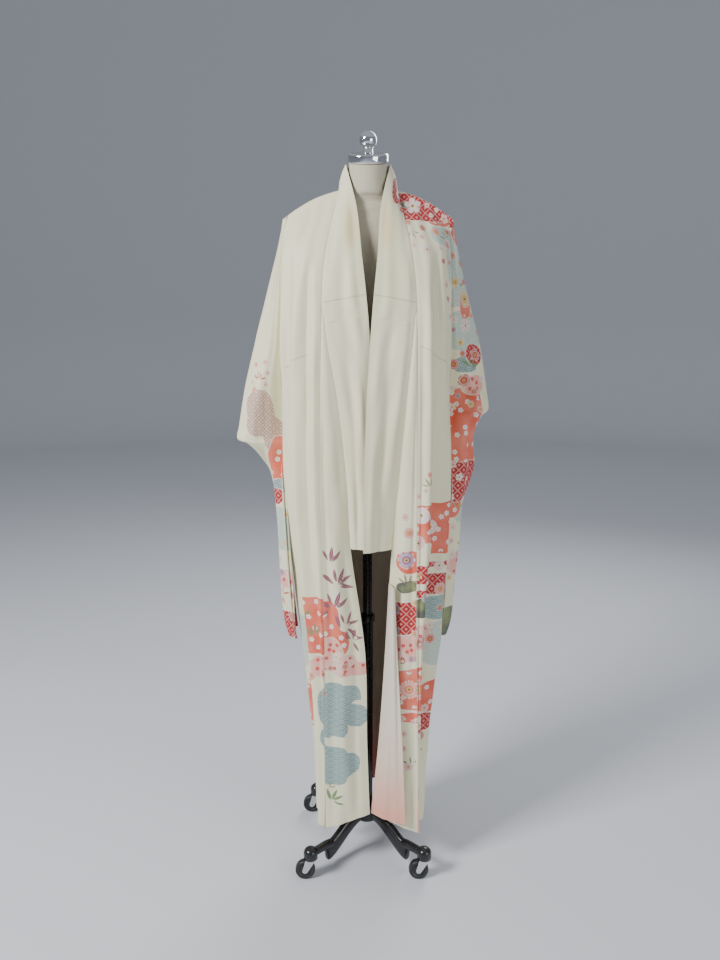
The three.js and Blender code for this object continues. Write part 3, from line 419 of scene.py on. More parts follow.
def shell(name: str, sheet: Sheet, wall: float) -> bpy.types.Object:
    """A thin closed wall of cloth on both sides of a sheet's middle surface.

    The outer face lies half a wall above the middle and the inner one half a wall below, and a
    strip of faces joins them round the rim. The faces are written in the order that points out.

    Args:
        name: the piece's name.
        sheet: the cloth's middle surface.
        wall: the wall's thickness in millimetres.

    Returns:
        The new piece, with material slot 0 outside and on the rim and slot 1 inside.
    """
    rows, columns = sheet.places.shape[:2]
    outer, inner = sheet.raised(wall / 2), sheet.raised(-wall / 2)
    count = rows * columns
    loop = rim_loop(rows, columns)
    after = np.roll(loop, -1)
    i, j = rows // 2, columns // 2
    written = np.cross(outer[i + 1, j] - outer[i, j], outer[i, j + 1] - outer[i, j])
    face_out = written @ sheet.normals[i, j] > 0
    skin = quads(rows, columns, 0, not face_out)
    back = quads(rows, columns, count, face_out)
    edge = np.stack([loop, after, after + count, loop + count], -1)
    edge = edge[:, ::-1] if face_out else edge
    piece = new_mesh(name, to_frame(np.concatenate([outer.reshape(-1, 3), inner.reshape(-1, 3)])),
                     np.concatenate([skin, back, edge]))
    mark_sharp(piece, loop, count)
    inside = np.zeros(len(skin) * 2 + len(edge), np.int32)
    inside[len(skin):2 * len(skin)] = 1
    piece.data.materials.append(None)
    piece.data.materials.append(None)
    piece.data.polygons.foreach_set("material_index", inside)
    cloth_uv = np.stack([sheet.across(), sheet.places[..., 2]], -1).reshape(-1, 2) * MM
    both = np.concatenate([cloth_uv, cloth_uv])
    corners = np.zeros(len(piece.data.loops), np.int32)
    piece.data.loops.foreach_get("vertex_index", corners)
    piece.data.uv_layers.new(name="cloth").data.foreach_set("uv", both[corners].ravel().astype(np.float32))
    return piece


# The body of the garment

@dataclass
class BodyPanels:
    """Front, back and overlap panels of both sides.

    Fields: cut widths and depths in millimetres, the grids' fineness, the neck's share of the back's
    width, how much flatter the front's pleats get towards its inner seam and from which share across,
    and the folds, listed one by one.
    """

    wall: float = 2.0
    front_width: float = 245
    back_width: float = 300
    shoulder_crown: float = 8
    overlap_swell: float = 6
    rows: int = 361
    front_columns: int = 73
    back_columns: int = 85
    overlap_columns: int = 33
    neck_share: float = 4 / 15
    front_pleats: Pleats = Pleats(2, 25, 7, 20)
    back_pleats: Pleats = Pleats(2.5, 28, 5, 20)
    flat_share: float = 0.92
    flat_from: float = 0.45
    front_folds: dict = field(default_factory=lambda: {
        Side.RIGHT: (Fold(0.42, 0.42, 2, 12, -8, 0.08), Fold(0.8, 0.7, 3, 17, -10, 0.06),
                     Fold(0.6, 0.55, 3, 19, 7, 0.08), Fold(0.9, 0.92, 4, 23, 4, 0.05),
                     Fold(0.25, 0.3, 4, 13, 5, 0.06)),
        Side.LEFT: (Fold(0.55, 0.6, 2, 16, -9, 0.07), Fold(0.8, 0.8, 3, 18, 7, 0.07),
                    Fold(0.35, 0.4, 9, 20, 6, 0.08), Fold(0.68, 0.7, 3, 21, -6, 0.05),
                    Fold(0.92, 0.9, 7, 23, -4, 0.04)),
    })
    overlap_folds: dict = field(default_factory=lambda: {
        Side.RIGHT: (Fold(0.12, 0.2, 9, 24.6, -6, 0.12), Fold(0.5, 0.42, 13, 24.8, 5, 0.14),
                     Fold(0.75, 0.7, 14, 24.9, -5, 0.1)),
        Side.LEFT: (Fold(0.15, 0.12, 9, 24.6, -5, 0.1), Fold(0.55, 0.5, 12, 24.8, 4, 0.16)),
    })

    def front(self, side: Side) -> Sheet:
        """The front panel, from the side (u 0) to its inner seam (u 1).

        Across, X runs as one less the cosine and Y as the sine of a quarter turn, once the panel
        has left the shoulder fold; above that both run straight, with a crown of a half sine.

        Args:
            side: the wearer's side.

        Returns:
            The panel.
        """
        u = np.linspace(0, 1, self.front_columns)[None, :]
        r = np.linspace(0, HEM, self.rows)
        edge, inner = seam(SIDE_SEAM[side], r)[:, None], seam(INNER_SEAM[side], r)[:, None]
        turn = smooth(r / 3)[:, None]

        def base(v: Array) -> Array:
            """Places of the unpleated panel at shares v.

            Args:
                v: shares across.

            Returns:
                Places on the grid.
            """
            a = v * math.pi / 2
            share = lerp(v, 1 - np.cos(a), turn)
            x = lerp(edge[..., 0], inner[..., 0], share)
            y = lerp(edge[..., 1], inner[..., 1], lerp(v, np.sin(a), turn))
            z = lerp(edge[..., 2], inner[..., 2], share)
            return np.stack([x, y, z + (1 - turn) * self.shoulder_crown * np.sin(math.pi * v)], -1)

        push = sum(fold.push(u, r[:, None]) for fold in self.front_folds[side])
        weight = -side.value * (1 - self.flat_share * smooth((u - self.flat_from) / self.flat_from))
        return Sheet(pleated(base, u, push, weight * self.front_pleats.wave(u), self.front_width,
                             self.front_pleats.deepest(r)))

    def back(self, side: Side) -> Sheet:
        """The back panel, from the centre back seam (u 0) to the side (u 1).

        Its top follows a quarter of the neck's ellipse and then the shoulder; below, it is a
        quarter of an ellipse round the back, and the two blend over the first rows.

        Args:
            side: the wearer's side.

        Returns:
            The panel.
        """
        u = np.linspace(0, 1, self.back_columns)[None, :]
        r = np.linspace(0, HEM, self.rows)
        neck, shoulder = np.array(INNER_SEAM[side][0]), np.array(SIDE_SEAM[side][0])
        nape = np.array(CENTRE_BACK[0])
        edge, centre = seam(SIDE_SEAM[side], r), seam(CENTRE_BACK, r)[:, None]
        edge[:, 1] = np.where(r < SIDE_TOP, -edge[:, 1], np.abs(edge[:, 1]))
        edge = edge[:, None]
        turn = smooth(r / 4)[:, None] ** 0.6
        fall = smooth(r / 2.6)[:, None]

        def base(v: Array) -> Array:
            """Places of the unpleated panel at shares v.

            Args:
                v: shares across.

            Returns:
                Places on the grid.
            """
            t = np.clip(v / self.neck_share, 0, 1)
            s = 1 - np.clip((v - self.neck_share) / (1 - self.neck_share), 0, 1)
            on_neck = v <= self.neck_share
            top_x = np.where(on_neck, neck[0] * np.sin(t * math.pi / 2), lerp(shoulder[0], neck[0], s))
            top_y = np.where(on_neck, nape[1] * np.cos(t * math.pi / 2), 0)
            crown = self.shoulder_crown * np.sin(math.pi * s)
            shoulder_z = lerp(shoulder[2], neck[2], s) + crown
            top_z = np.where(on_neck, lerp(nape[2], neck[2], smooth(t)), shoulder_z)
            a = v * math.pi / 2
            x = lerp(top_x, edge[..., 0] * np.sin(a), turn)
            y = lerp(top_y, lerp(edge[..., 1], centre[..., 1], np.cos(a)), turn)
            return np.stack([x, y, lerp(top_z, lerp(centre[..., 2], edge[..., 2], v), fall)], -1)

        wave = side.value * self.back_pleats.wave(u)
        return Sheet(pleated(base, u, np.zeros((self.rows, 1)), wave, self.back_width,
                             self.back_pleats.deepest(r)))

    def overlap(self, side: Side, front: Sheet) -> Sheet:
        """The overlap, straight from the front's inner seam (u 0) to the front edge (u 1).

        It swells forward by half a sine, which grows below the tip.

        Args:
            side: the wearer's side.
            front: the front panel on that side.

        Returns:
            The panel.
        """
        rows = np.linspace(TIP + 0.5, HEM, (self.rows - 1) * (HEM - TIP) // HEM + 1)
        inner = along(front.places[:, -1], np.linspace(0, HEM, self.rows), rows)
        edge = seam(FRONT_EDGE[side], rows, LEVELS.index(TIP))
        u = np.linspace(0, 1, self.overlap_columns)[None, :]
        places = lerp(inner[:, None], edge[:, None], u[..., None])
        push = sum(fold.push(u, rows[:, None]) for fold in self.overlap_folds[side])
        places[..., 1] -= self.overlap_swell * np.sin(math.pi * u) * smooth((rows[:, None] - TIP) / 6)
        places[..., 1] -= push * np.sin(math.pi * u) ** 0.5
        return Sheet(places)


@dataclass
class TurnedEdge:
    """The left overlap's turned-out part below the collar: its silk and the lining that it shows."""

    silk_wall: float = 1.1
    lining_wall: float = 1.1
    gap: float = 0.6
    stand: float = 8
    columns: int = 25
    rows: int = 91
    edge: tuple = ((64, -128, 780), (73, -130, 600), (88, -133, 350), (97, -134, 150))
    folds: tuple = (Fold(0.3, 0.4, 15, 25.5, 5, 0.12), Fold(0.65, 0.72, 16, 25.8, 4, 0.1))

    def sheet(self, overlap: Sheet) -> Sheet:
        """From the fold (u 0) to the free edge (u 1), clear of the overlap behind it.

        Args:
            overlap: the left overlap.

        Returns:
            The silk's middle surface.
        """
        rows = np.linspace(COLLAR_END + 1, HEM, self.rows)
        own = np.linspace(TIP + 0.5, HEM, len(overlap.places))
        behind = along(overlap.places.reshape(len(own), -1), own, rows).reshape(self.rows, -1, 3)
        fold = behind[:, -1]
        edge = along(self.edge, (COLLAR_END + 1, 18, 21, HEM), rows)
        edge[:, 2] = fold[:, 2] - 4
        u = np.linspace(0, 1, self.columns)[None, :]
        places = lerp(fold[:, None], edge[:, None], u[..., None])
        back = np.linspace(1, 0.2, self.columns) * (behind.shape[1] - 1)
        back_y = behind[:, np.round(back).astype(int), 1]
        stand = lerp(2.2, self.stand, smooth(u * 4))
        push = sum(fold.push(u, rows[:, None]) for fold in self.folds)
        places[..., 1] = np.minimum(places[..., 1], back_y) - stand - push * smooth(u * 4)
        return Sheet(places)


# Sleeves

@dataclass(frozen=True)
class Section:
    """A level section of a sleeve from its inner to its outer edge, in millimetres."""

    z: float
    inner_x: float
    inner_y: float
    outer_x: float
    outer_y: float
    bow: float
    half_inner: float
    half_middle: float
    half_outer: float
    wave: float


@dataclass
class Sleeve:
    """One long sleeve: its front and back faces, which meet at the outer edge.

    Fields, in millimetres and levels: half the depth where it is closed, half the shoulder fold's
    depth and its start, how far the front is drawn in under the arm, how far its open edge stands
    off the body, how far the fold drops outwards, the levels from which it waves and over which
    the fold opens, and where the left sleeve gapes.
    """

    side: Side
    wall: float = 2.0
    closed: float = 1.4
    fold_half: float = 2.3
    fold_start: float = 1.4
    drawn_in: float = 17
    shut: float = 3
    fold_drop: float = 10
    waved_from: float = 14
    opening: float = 0.8
    gape_height: float = 850
    gape_reach: float = 130
    rows: int = 261
    columns: int = 57
    levels: tuple = (0, 2, 4, 6, 8, 10, 12, 13, 14, 15, 16, 18, 20, 22, 23)
    folds: tuple = (Fold(0.35, 0.55, 1.5, 13, 4, 0.12), Fold(0.6, 0.78, 2.5, 12, -4, 0.09),
                    Fold(0.2, 0.3, 3, 14, -3, 0.08), Fold(0.8, 0.45, 6, 15, 3, 0.07))

    def sections(self) -> tuple:
        """The sleeve's sections from the shoulder down.

        Returns:
            A section for each of the levels.
        """
        closed, fold = self.closed, self.fold_half
        if self.side is Side.RIGHT:
            return (
                Section(1650, -190, 0, -203, 0, 0, fold, fold, fold, 0),
                Section(1590, -204, 0, -213, 0, 0, 22, 16, closed, 0),
                Section(1520, -206, 0, -231, 0, 0, 34, 26, closed, 1),
                Section(1440, -207, 0, -252, 0, 0, 38, 30, closed, 3),
                Section(1345, -210, 0, -277, -2, 0, 32, 32, closed, 4),
                Section(1240, -226, -4, -303, -4, 0, 24, 34, closed, 5),
                Section(1150, -224, -10, -318, -5, 0, 18, 32, 8, 5),
                Section(1118, -223, -14, -320, -5, 0, 14, 28, 18, 5),
                Section(1105, -222, -16, -292, 0, 4, 12, 26, 20, 6),
                Section(1070, -220, -22, -255, 20, 6, 10, 18, 10, 7),
                Section(1025, -218, -30, -232, 45, 8, 9, 10, closed, 8),
                Section(900, -212, -38, -212, 68, 10, 8, 7, closed, 9),
                Section(760, -204, -40, -202, 70, 14, 8, 7, closed, 10),
                Section(650, -194, -38, -192, 66, 16, 7, 6, closed, 10),
                Section(602, -188, -34, -186, 58, 12, closed, closed, closed, 9),
            )
        return (
            Section(1650, 190, 0, 203, 0, 0, fold, fold, fold, 0),
            Section(1590, 194, 0, 212, 0, 0, 22, 16, closed, 0),
            Section(1520, 196, 0, 228, 0, 0, 34, 26, closed, 1),
            Section(1440, 198, 0, 248, 0, 0, 38, 30, closed, 3),
            Section(1345, 200, 0, 274, -2, 0, 32, 32, closed, 4),
            Section(1255, 216, -4, 290, -4, 0, 24, 34, closed, 5),
            Section(1200, 216, -8, 297, -5, 0, 18, 30, 12, 5),
            Section(1186, 216, -10, 292, -5, 0, 15, 28, 18, 5),
            Section(1172, 216, -12, 276, 0, 4, 13, 26, 18, 6),
            Section(1120, 216, -18, 260, 20, 6, 11, 18, closed, 7),
            Section(1045, 216, -28, 262, 45, 12, 10, 12, closed, 9),
            Section(940, 214, -36, 226, 66, 14, 8, 8, closed, 10),
            Section(800, 207, -38, 208, 68, 14, 8, 7, closed, 10),
            Section(660, 198, -36, 198, 64, 14, 7, 6, closed, 10),
            Section(606, 190, -32, 190, 56, 12, closed, closed, closed, 9),
        )

    def faces(self, front: Sheet, back: Sheet) -> tuple[Sheet, Sheet]:
        """The sleeve's front and back faces.

        A middle line runs from the inner to the outer edge, with a half-sine bow and a wave of one
        and a half turns. The two faces stand off it on both sides by half the sleeve's depth, which
        runs from the inner to the outer half with a swell of the sine squared. Beside the body the
        first column is the panel's own side edge.

        Args:
            front: the front panel.
            back: the back panel.

        Returns:
            The front and the back face.
        """
        sign = self.side.value
        r = np.linspace(0, self.levels[-1], self.rows)
        table = along([astuple(s) for s in self.sections()], self.levels, r)
        z, inner_x, inner_y, outer_x, outer_y, bow, half_in, half_mid, half_out, wave = table.T
        armhole = r <= UNDERARM
        side = seam(SIDE_SEAM[self.side], r)
        inner = np.stack([np.where(armhole, side[:, 0], inner_x), inner_y, np.zeros_like(z)], -1)[:, None]
        outer = np.stack([outer_x, outer_y, np.zeros_like(z)], -1)[:, None]
        height = np.where(armhole, side[:, 2], z)[:, None]
        chord = unit(outer - inner)
        square = np.stack([chord[..., 1], -chord[..., 0], np.zeros_like(chord[..., 0])], -1) * sign

        def middle(v: Array) -> Array:
            """The middle line at shares v.

            Args:
                v: shares across.

            Returns:
                Places on the grid.
            """
            waves = wave[:, None] * np.sin(3 * math.pi * v) * smooth(4 * v)
            bend = bow[:, None] * np.sin(math.pi * v) + waves
            return lerp(inner, outer, v[..., None]) + square * bend[..., None]

        u = np.linspace(0, 1, self.columns)[None, :]
        hanging = smooth((r - UNDERARM - 1) / 3)
        gape = 1 - smooth(abs(z - self.gape_height) / self.gape_reach)
        gape = gape * (self.side is Side.LEFT)
        half_in = lerp(half_in, np.minimum(half_in, lerp(self.shut, half_in, gape)), hanging)
        start = np.where(armhole, np.abs(side[:, 1]), np.maximum(self.closed, half_in))[:, None]
        end = np.maximum(self.closed, half_out)[:, None]
        swell = np.maximum(0, half_mid[:, None] - (start + end) / 2)
        half = lerp(start, end, smooth(u)) + swell * np.sin(math.pi * u) ** 2
        opened = smooth(r / self.opening)[:, None]
        half = lerp(self.fold_half, half, opened)
        run = unit(middle(np.minimum(1, u + 0.02)) - middle(np.maximum(0, u - 0.02)))
        normal = np.stack([run[..., 1], -run[..., 0], np.zeros_like(run[..., 0])], -1) * sign
        normal = unit(lerp(square, normal, smooth((r - self.waved_from) / 5)[:, None, None]))
        push = sum(fold.push(u, r[:, None]) for fold in self.folds) * np.minimum(1, (half - self.closed) / 8)
        sheets = []
        for facing, panel in ((1, front.places[:, 0]), (-1, back.places[:, -1])):
            places = middle(u) + facing * normal * (half + push * np.sin(math.pi * u))[..., None]
            places[..., 2] = height - self.fold_drop * u * (1 - smooth(r / 2))[:, None]
            own = along(panel, np.linspace(0, HEM, len(panel)), r[armhole])
            pull = (1 - smooth(u * 6)) * opened
            gap = np.zeros((len(r), 3))
            gap[armhole] = own - places[armhole, 0]
            places += gap[:, None] * pull[..., None]
            draw = self.drawn_in * smooth((r - UNDERARM) / 2.5) * (1 - 0.5 * smooth((r - 20) / 3))
            share = (1 - smooth(u * 3)) * (1 if facing > 0 else 0.25)
            places[..., 0] -= sign * draw[:, None] * share
            places += chord * (self.fold_start * (1 - opened) * (1 - u))[..., None]
            look = np.array((sign * 0.5 * facing, -1.0 * facing, 0))
            sheets.append(Sheet(places, lambda p, look=look: np.broadcast_to(look, p.shape)))
        return sheets[0], sheets[1]


# The collar

@dataclass
class Collar:
    """The collar band: from its right end up round the neck and down to its left end."""

    wall: float = 2.2
    swell: float = 4
    columns: int = 31
    rows_a_level: int = 10
    rows_behind: int = 33
    over_collar_end: float = 7
    folds: dict = field(default_factory=lambda: {
        Side.RIGHT: (Fold(0.42, 0.5, 4, 17, -5, 0.14), Fold(0.72, 0.75, 3, 13, 3, 0.1)),
        Side.LEFT: (Fold(0.5, 0.52, 6, 17, -6, 0.13), Fold(0.2, 0.24, 3, 14, 4, 0.1),
                    Fold(0.8, 0.78, 7, 17, 3, 0.1)),
    })

    def sheet(self, panels: dict) -> Sheet:
        """From the collar's seam (u 0) to its free edge (u 1), with a half-sine swell away from the pole.

        Args:
            panels: front, back and overlap sheets by side.

        Returns:
            The whole band; its rows run from the right end to the left end.
        """
        seams, edges = [], []
        for side in (Side.RIGHT, Side.LEFT):
            front, _, overlap = panels[side]
            r = np.linspace(0, COLLAR_END, COLLAR_END * self.rows_a_level + 1)
            own = np.linspace(0, HEM, len(front.places))
            rows = np.linspace(TIP + 0.5, HEM, len(overlap.places))
            on_front = along(front.places[:, -1], own, r)
            on_overlap = along(overlap.places[:, -1], rows, np.maximum(r, TIP + 0.5))
            ease = smooth((r - TIP) / 1.0)[:, None]
            seams.append(lerp(on_front, on_overlap, ease))
            edges.append(seam(COLLAR_EDGE[side], r))
        t = np.linspace(-1, 1, 2 * self.rows_behind - 1)[1:-1, None]
        a = np.abs(t) * math.pi / 2
        neck = np.where(t < 0, -seams[0][0], seams[1][0])
        beside = np.array(COLLAR_EDGE[Side.LEFT][0], float)
        nape = np.array(CENTRE_BACK[0], float)
        behind = np.concatenate([np.sign(t) * np.abs(neck[:, :1]) * np.sin(a), nape[1] * np.cos(a),
                                 lerp(nape[2], INNER_SEAM[Side.LEFT][0][2], smooth(np.abs(t)))], 1)
        over = np.concatenate([np.sign(t) * beside[0] * np.sin(a),
                               lerp(beside[1], COLLAR_BEHIND[1], np.cos(a)),
                               lerp(COLLAR_BEHIND[2], beside[2], np.abs(t))], 1)
        start = np.concatenate([seams[0][::-1], behind, seams[1]])
        end = np.concatenate([edges[0][::-1], over, edges[1]])
        u = np.linspace(0, 1, self.columns)[None, :]
        places = lerp(start[:, None], end[:, None], u[..., None])
        out = unit(places * (1, 1, 0))
        pushes = {side: sum(fold.push(u, r[:, None]) for fold in self.folds[side]) for side in Side}
        still = np.zeros((len(behind), self.columns))
        push = np.concatenate([pushes[Side.RIGHT][::-1], still, pushes[Side.LEFT]])
        height = self.swell * np.sin(math.pi * u) + push * np.sin(math.pi * u) ** 0.5
        return Sheet(places + out * height[..., None])

    def parts(self, band: Sheet) -> dict:
        """The band cut at the over-collar's two cross seams, by piece name.

        Args:
            band: the whole band.

        Returns:
            Three sheets.
        """
        end = (COLLAR_END - round(self.over_collar_end)) * self.rows_a_level
        last = len(band.places)
        return {
            "collar_right": band.part(slice(0, end + 1)),
            "over_collar": band.part(slice(end, last - end)),
            "collar_left": band.part(slice(last - end - 1, last)),
        }


# Turned parts of the form and stand

def turned_grid(profile: Sequence[tuple[float, float]], centre: Array, tilt: float = 0.0,
                segments: int = 96) -> tuple[Array, Array]:
    """Places and faces of a solid of revolution: each profile place goes once round the axis.

    Its places are the radius times the cosine and the sine of the angle, and the height. The first
    and last profile places lie on the axis or on each other.

    Args:
        profile: radius and height in millimetres, from the lower pole outside to the upper pole.
        centre: the axis' foot in millimetres.
        tilt: turn of the axis about X in radians.
        segments: steps round.

    Returns:
        Places in millimetres and faces of four corners.
    """
    line = np.array(profile, float)
    a = np.arange(segments) / segments * TAU
    radius, z = line[:, :1], np.broadcast_to(line[:, 1:], (len(line), segments))
    ring = np.stack([radius * np.cos(a), radius * np.sin(a), z], -1)
    turn = np.array([[1, 0, 0], [0, math.cos(tilt), -math.sin(tilt)], [0, math.sin(tilt), math.cos(tilt)]])
    return ring.reshape(-1, 3) @ turn.T + centre, ring_faces(len(line), segments)


def revolve(name: str, profile: Sequence[tuple[float, float]], centre: Array, tilt: float = 0.0,
            segments: int = 96) -> bpy.types.Object:
    """A piece turned from a profile, with the arguments of turned_grid.

    Args:
        name: the piece's name.
        profile: as for turned_grid.
        centre: as for turned_grid.
        tilt: as for turned_grid.
        segments: as for turned_grid.

    Returns:
        The new piece.
    """
    places, faces = turned_grid(profile, centre, tilt, segments)
    piece = new_mesh(name, to_frame(places), faces)
    clean(piece)
    return piece


def clean(piece: bpy.types.Object) -> None:
    """Merges doubled places, drops empty faces and turns the faces out.

    Args:
        piece: the piece to clean.
    """
    shape = bmesh.new()
    shape.from_mesh(piece.data)
    bmesh.ops.remove_doubles(shape, verts=shape.verts, dist=1e-6)
    bmesh.ops.dissolve_degenerate(shape, edges=shape.edges, dist=1e-7)
    bmesh.ops.recalc_face_normals(shape, faces=shape.faces)
    shape.to_mesh(piece.data)
    shape.free()


def rounded(radius: float, low: float, high: float, rim: float, steps: int = 5) -> list:
    """Profile of a disc with rounded rims, from the lower pole to the upper one.

    Args:
        radius: the disc's radius.
        low: height of its underside.
        high: height of its top.
        rim: radius of its rims' rounding.
        steps: places on each rim.

    Returns:
        Radius and height of each place.
    """
    a = np.linspace(-math.pi / 2, 0, steps)
    lower = np.stack([radius - rim + rim * np.cos(a), low + rim + rim * np.sin(a)], -1)
    upper = np.stack([lower[::-1, 0], high + low - lower[::-1, 1]], -1)
    return [(0, low), *map(tuple, lower), *map(tuple, upper), (0, high)]


@dataclass
class DressForm:
    """The limbless linen form.

    Fields: sizes in millimetres, and level sections as height, half width, depth in front, depth behind
    and the section's tilt as a slope.
    """

    neck_tilt: float = math.radians(18)
    cap_radius: float = 47.5
    cap_thickness: float = 21
    cap_height: float = 1780
    cap_gap: float = 0.6
    neck_section: tuple = (45, 44, 44)
    segments: int = 96
    rows_a_section: int = 6
    sections: tuple = (
        (905, 136, 84, 80, 0), (912, 143, 88, 84, 0), (960, 146, 88, 86, 0), (1040, 140, 84, 84, 0),
        (1120, 124, 80, 78, 0), (1200, 110, 78, 70, 0), (1270, 112, 82, 70, 0), (1340, 124, 92, 76, 0),
        (1400, 134, 98, 82, 0), (1450, 139, 97, 86, 0), (1510, 145, 88, 88, 0), (1560, 153, 76, 86, 0),
        (1604, 161, 66, 70, 0), (1634, 159, 56, 56, 0), (1651.5, 146, 46, 48, 0), (1664.5, 122, 42, 43, 0),
        (1676.5, 88, 34, 41, 0), (1688, 62, 37, 43, 0), (1701, 52, 43, 46, 0.1), (1722, 46, 44, 47, 0.2),
        (1752, 45, 44, 45, 0.28),
    )

    def build(self) -> bpy.types.Object:
        """The form: level rings whose front and back have their own depth, tilted towards the neck.

        Returns:
            The new piece.
        """
        top = self.cap_height - self.cap_thickness / 2 / math.cos(self.neck_tilt) - self.cap_gap
        table = np.array([*self.sections, (top, *self.neck_section, math.tan(self.neck_tilt))], float)
        levels = np.linspace(0, len(table) - 1, self.rows_a_section * (len(table) - 1) + 1)
        z, width, front, back, tilt = along(table, np.arange(len(table)), levels).T[..., None]
        a = np.arange(self.segments) / self.segments * TAU
        y = np.sin(a) * np.where(np.sin(a) < 0, front, back)
        rings = np.stack([width * np.cos(a), y, z + tilt * y], -1)
        poles = rings[[0, -1]] * (0, 0, 1)
        poles[1, :, 2] = top
        rings = np.concatenate([poles[:1], rings, poles[1:]])
        piece = new_mesh("linen_form", to_frame(rings), ring_faces(len(rings), self.segments))
        clean(piece)
        return piece


# Painting of the silk: areas of dye, flowers and leaves, placed in millimetres on the cloth

class Dye(Enum):
    """Areas of dye, in the order in which they lie over each other."""

    AQUA = "aqua"
    MAUVE = "mauve"
    CORAL = "coral"
    ROSE = "rose"
    TEAL = "teal"
    CRIMSON = "crimson"
    SLATE = "slate"
    BARE = "bare"


class Tone(float, Enum):
    """Places on the colour ramps of flowers and leaves."""

    WHITE = 0.04
    PINK = 0.19
    SALMON = 0.34
    SCARLET = 0.49
    VIOLET = 0.64
    GOLD = 0.79
    INK = 0.94


@dataclass(frozen=True)
class Patch:
    """A rounded area of dye: its middle across the cloth and in height, its half sizes and its squareness."""

    dye: Dye
    across: float
    height: float
    half_across: float
    half_height: float
    power: float = 2.4

    def depth(self, s: Array, z: Array) -> Array:
        """How far inside the area places lie.

        One less the power norm of the place in half sizes, times the smaller half size.

        Args:
            s: distance across the cloth in millimetres.
            z: height in millimetres.

        Returns:
            Millimetres, which are below nought outside the area.
        """
        x, y = np.abs(s - self.across) / self.half_across, np.abs(z - self.height) / self.half_height
        norm = (x ** self.power + y ** self.power) ** (1 / self.power)
        return (1 - norm) * min(self.half_across, self.half_height)


def areas(**rows: tuple) -> tuple[Patch, ...]:
    """Areas of dye, as rows of Patch's numbers under the dye's name."""
    return tuple(Patch(Dye(name), *row) for name, group in rows.items() for row in group)


@dataclass(frozen=True)
class Motif:
    """A flower, roundel or leaf: its middle, reach, turn in degrees, petals (0 for a roundel) and tone."""

    across: float
    height: float
    reach: float
    turn: float
    petals: float
    tone: float

    def local(self, s: Array, z: Array, slim: float) -> tuple[Array, Array]:
        """Places in the motif's own turned axes, in reaches; slim is the share of its width to its length.

        Args:
            s: distance across the cloth in millimetres.
            z: height in millimetres.
            slim: share of the width to the length.

        Returns:
            The way along and the way across.
        """
        a = math.radians(self.turn)
        x, y = (s - self.across) / self.reach, (z - self.height) / self.reach
        return x * math.cos(a) + y * math.sin(a), (y * math.cos(a) - x * math.sin(a)) / slim


LEAF_SLIM = 0.23
CLEAR = 1.06
FAR_AWAY = 99.0
BELOW_ALL = 3000
TRIES, SPACING, GAP = 12, 1.1, 4


def spray(across: float, height: float, reach: float, turns: Sequence[float],
          tone: Tone) -> tuple[Motif, ...]:
    """Leaves that start round a place and point along their own turns.

    Args:
        across: distance across of the leaves' start.
        height: height of their start.
        reach: half the length of the longest.
        turns: each leaf's turn in degrees.
        tone: their tone.

    Returns:
        The leaves.
    """
    start = 1.25 * reach
    return tuple(Motif(across + start * math.cos(math.radians(t)), height + start * math.sin(math.radians(t)),
                       reach * (1 - 0.12 * (i % 3)), t, 0, tone) for i, t in enumerate(turns))


def strewn(box: tuple, count: int, reach: tuple, petals: Sequence[int], tones: Sequence[Tone],
           seed: int, kept: Sequence[Motif] = ()) -> tuple[Motif, ...]:
    """Flowers strewn over a box of the cloth, clear of each other and of the kept ones.

    Args:
        box: lowest and highest distance across and height.
        count: how many are tried for.
        reach: smallest and largest reach.
        petals: petal counts to choose from.
        tones: tones to choose from.
        seed: of the random draws.
        kept: motifs that the new ones stay clear of.

    Returns:
        The new motifs.
    """
    draw = np.random.default_rng(seed)
    made: list[Motif] = []
    for _ in range(count * TRIES):
        if len(made) == count:
            break
        size = draw.uniform(*reach)
        place = Motif(draw.uniform(box[0], box[1]), draw.uniform(box[2], box[3]), size, draw.uniform(0, 360),
                      float(draw.choice(petals)), float(draw.choice([float(t) for t in tones])))
        if all(math.hypot(place.across - m.across, place.height - m.height) > SPACING * (size + m.reach) + GAP
               for m in (*kept, *made)):
            made.append(place)
    return tuple(made)


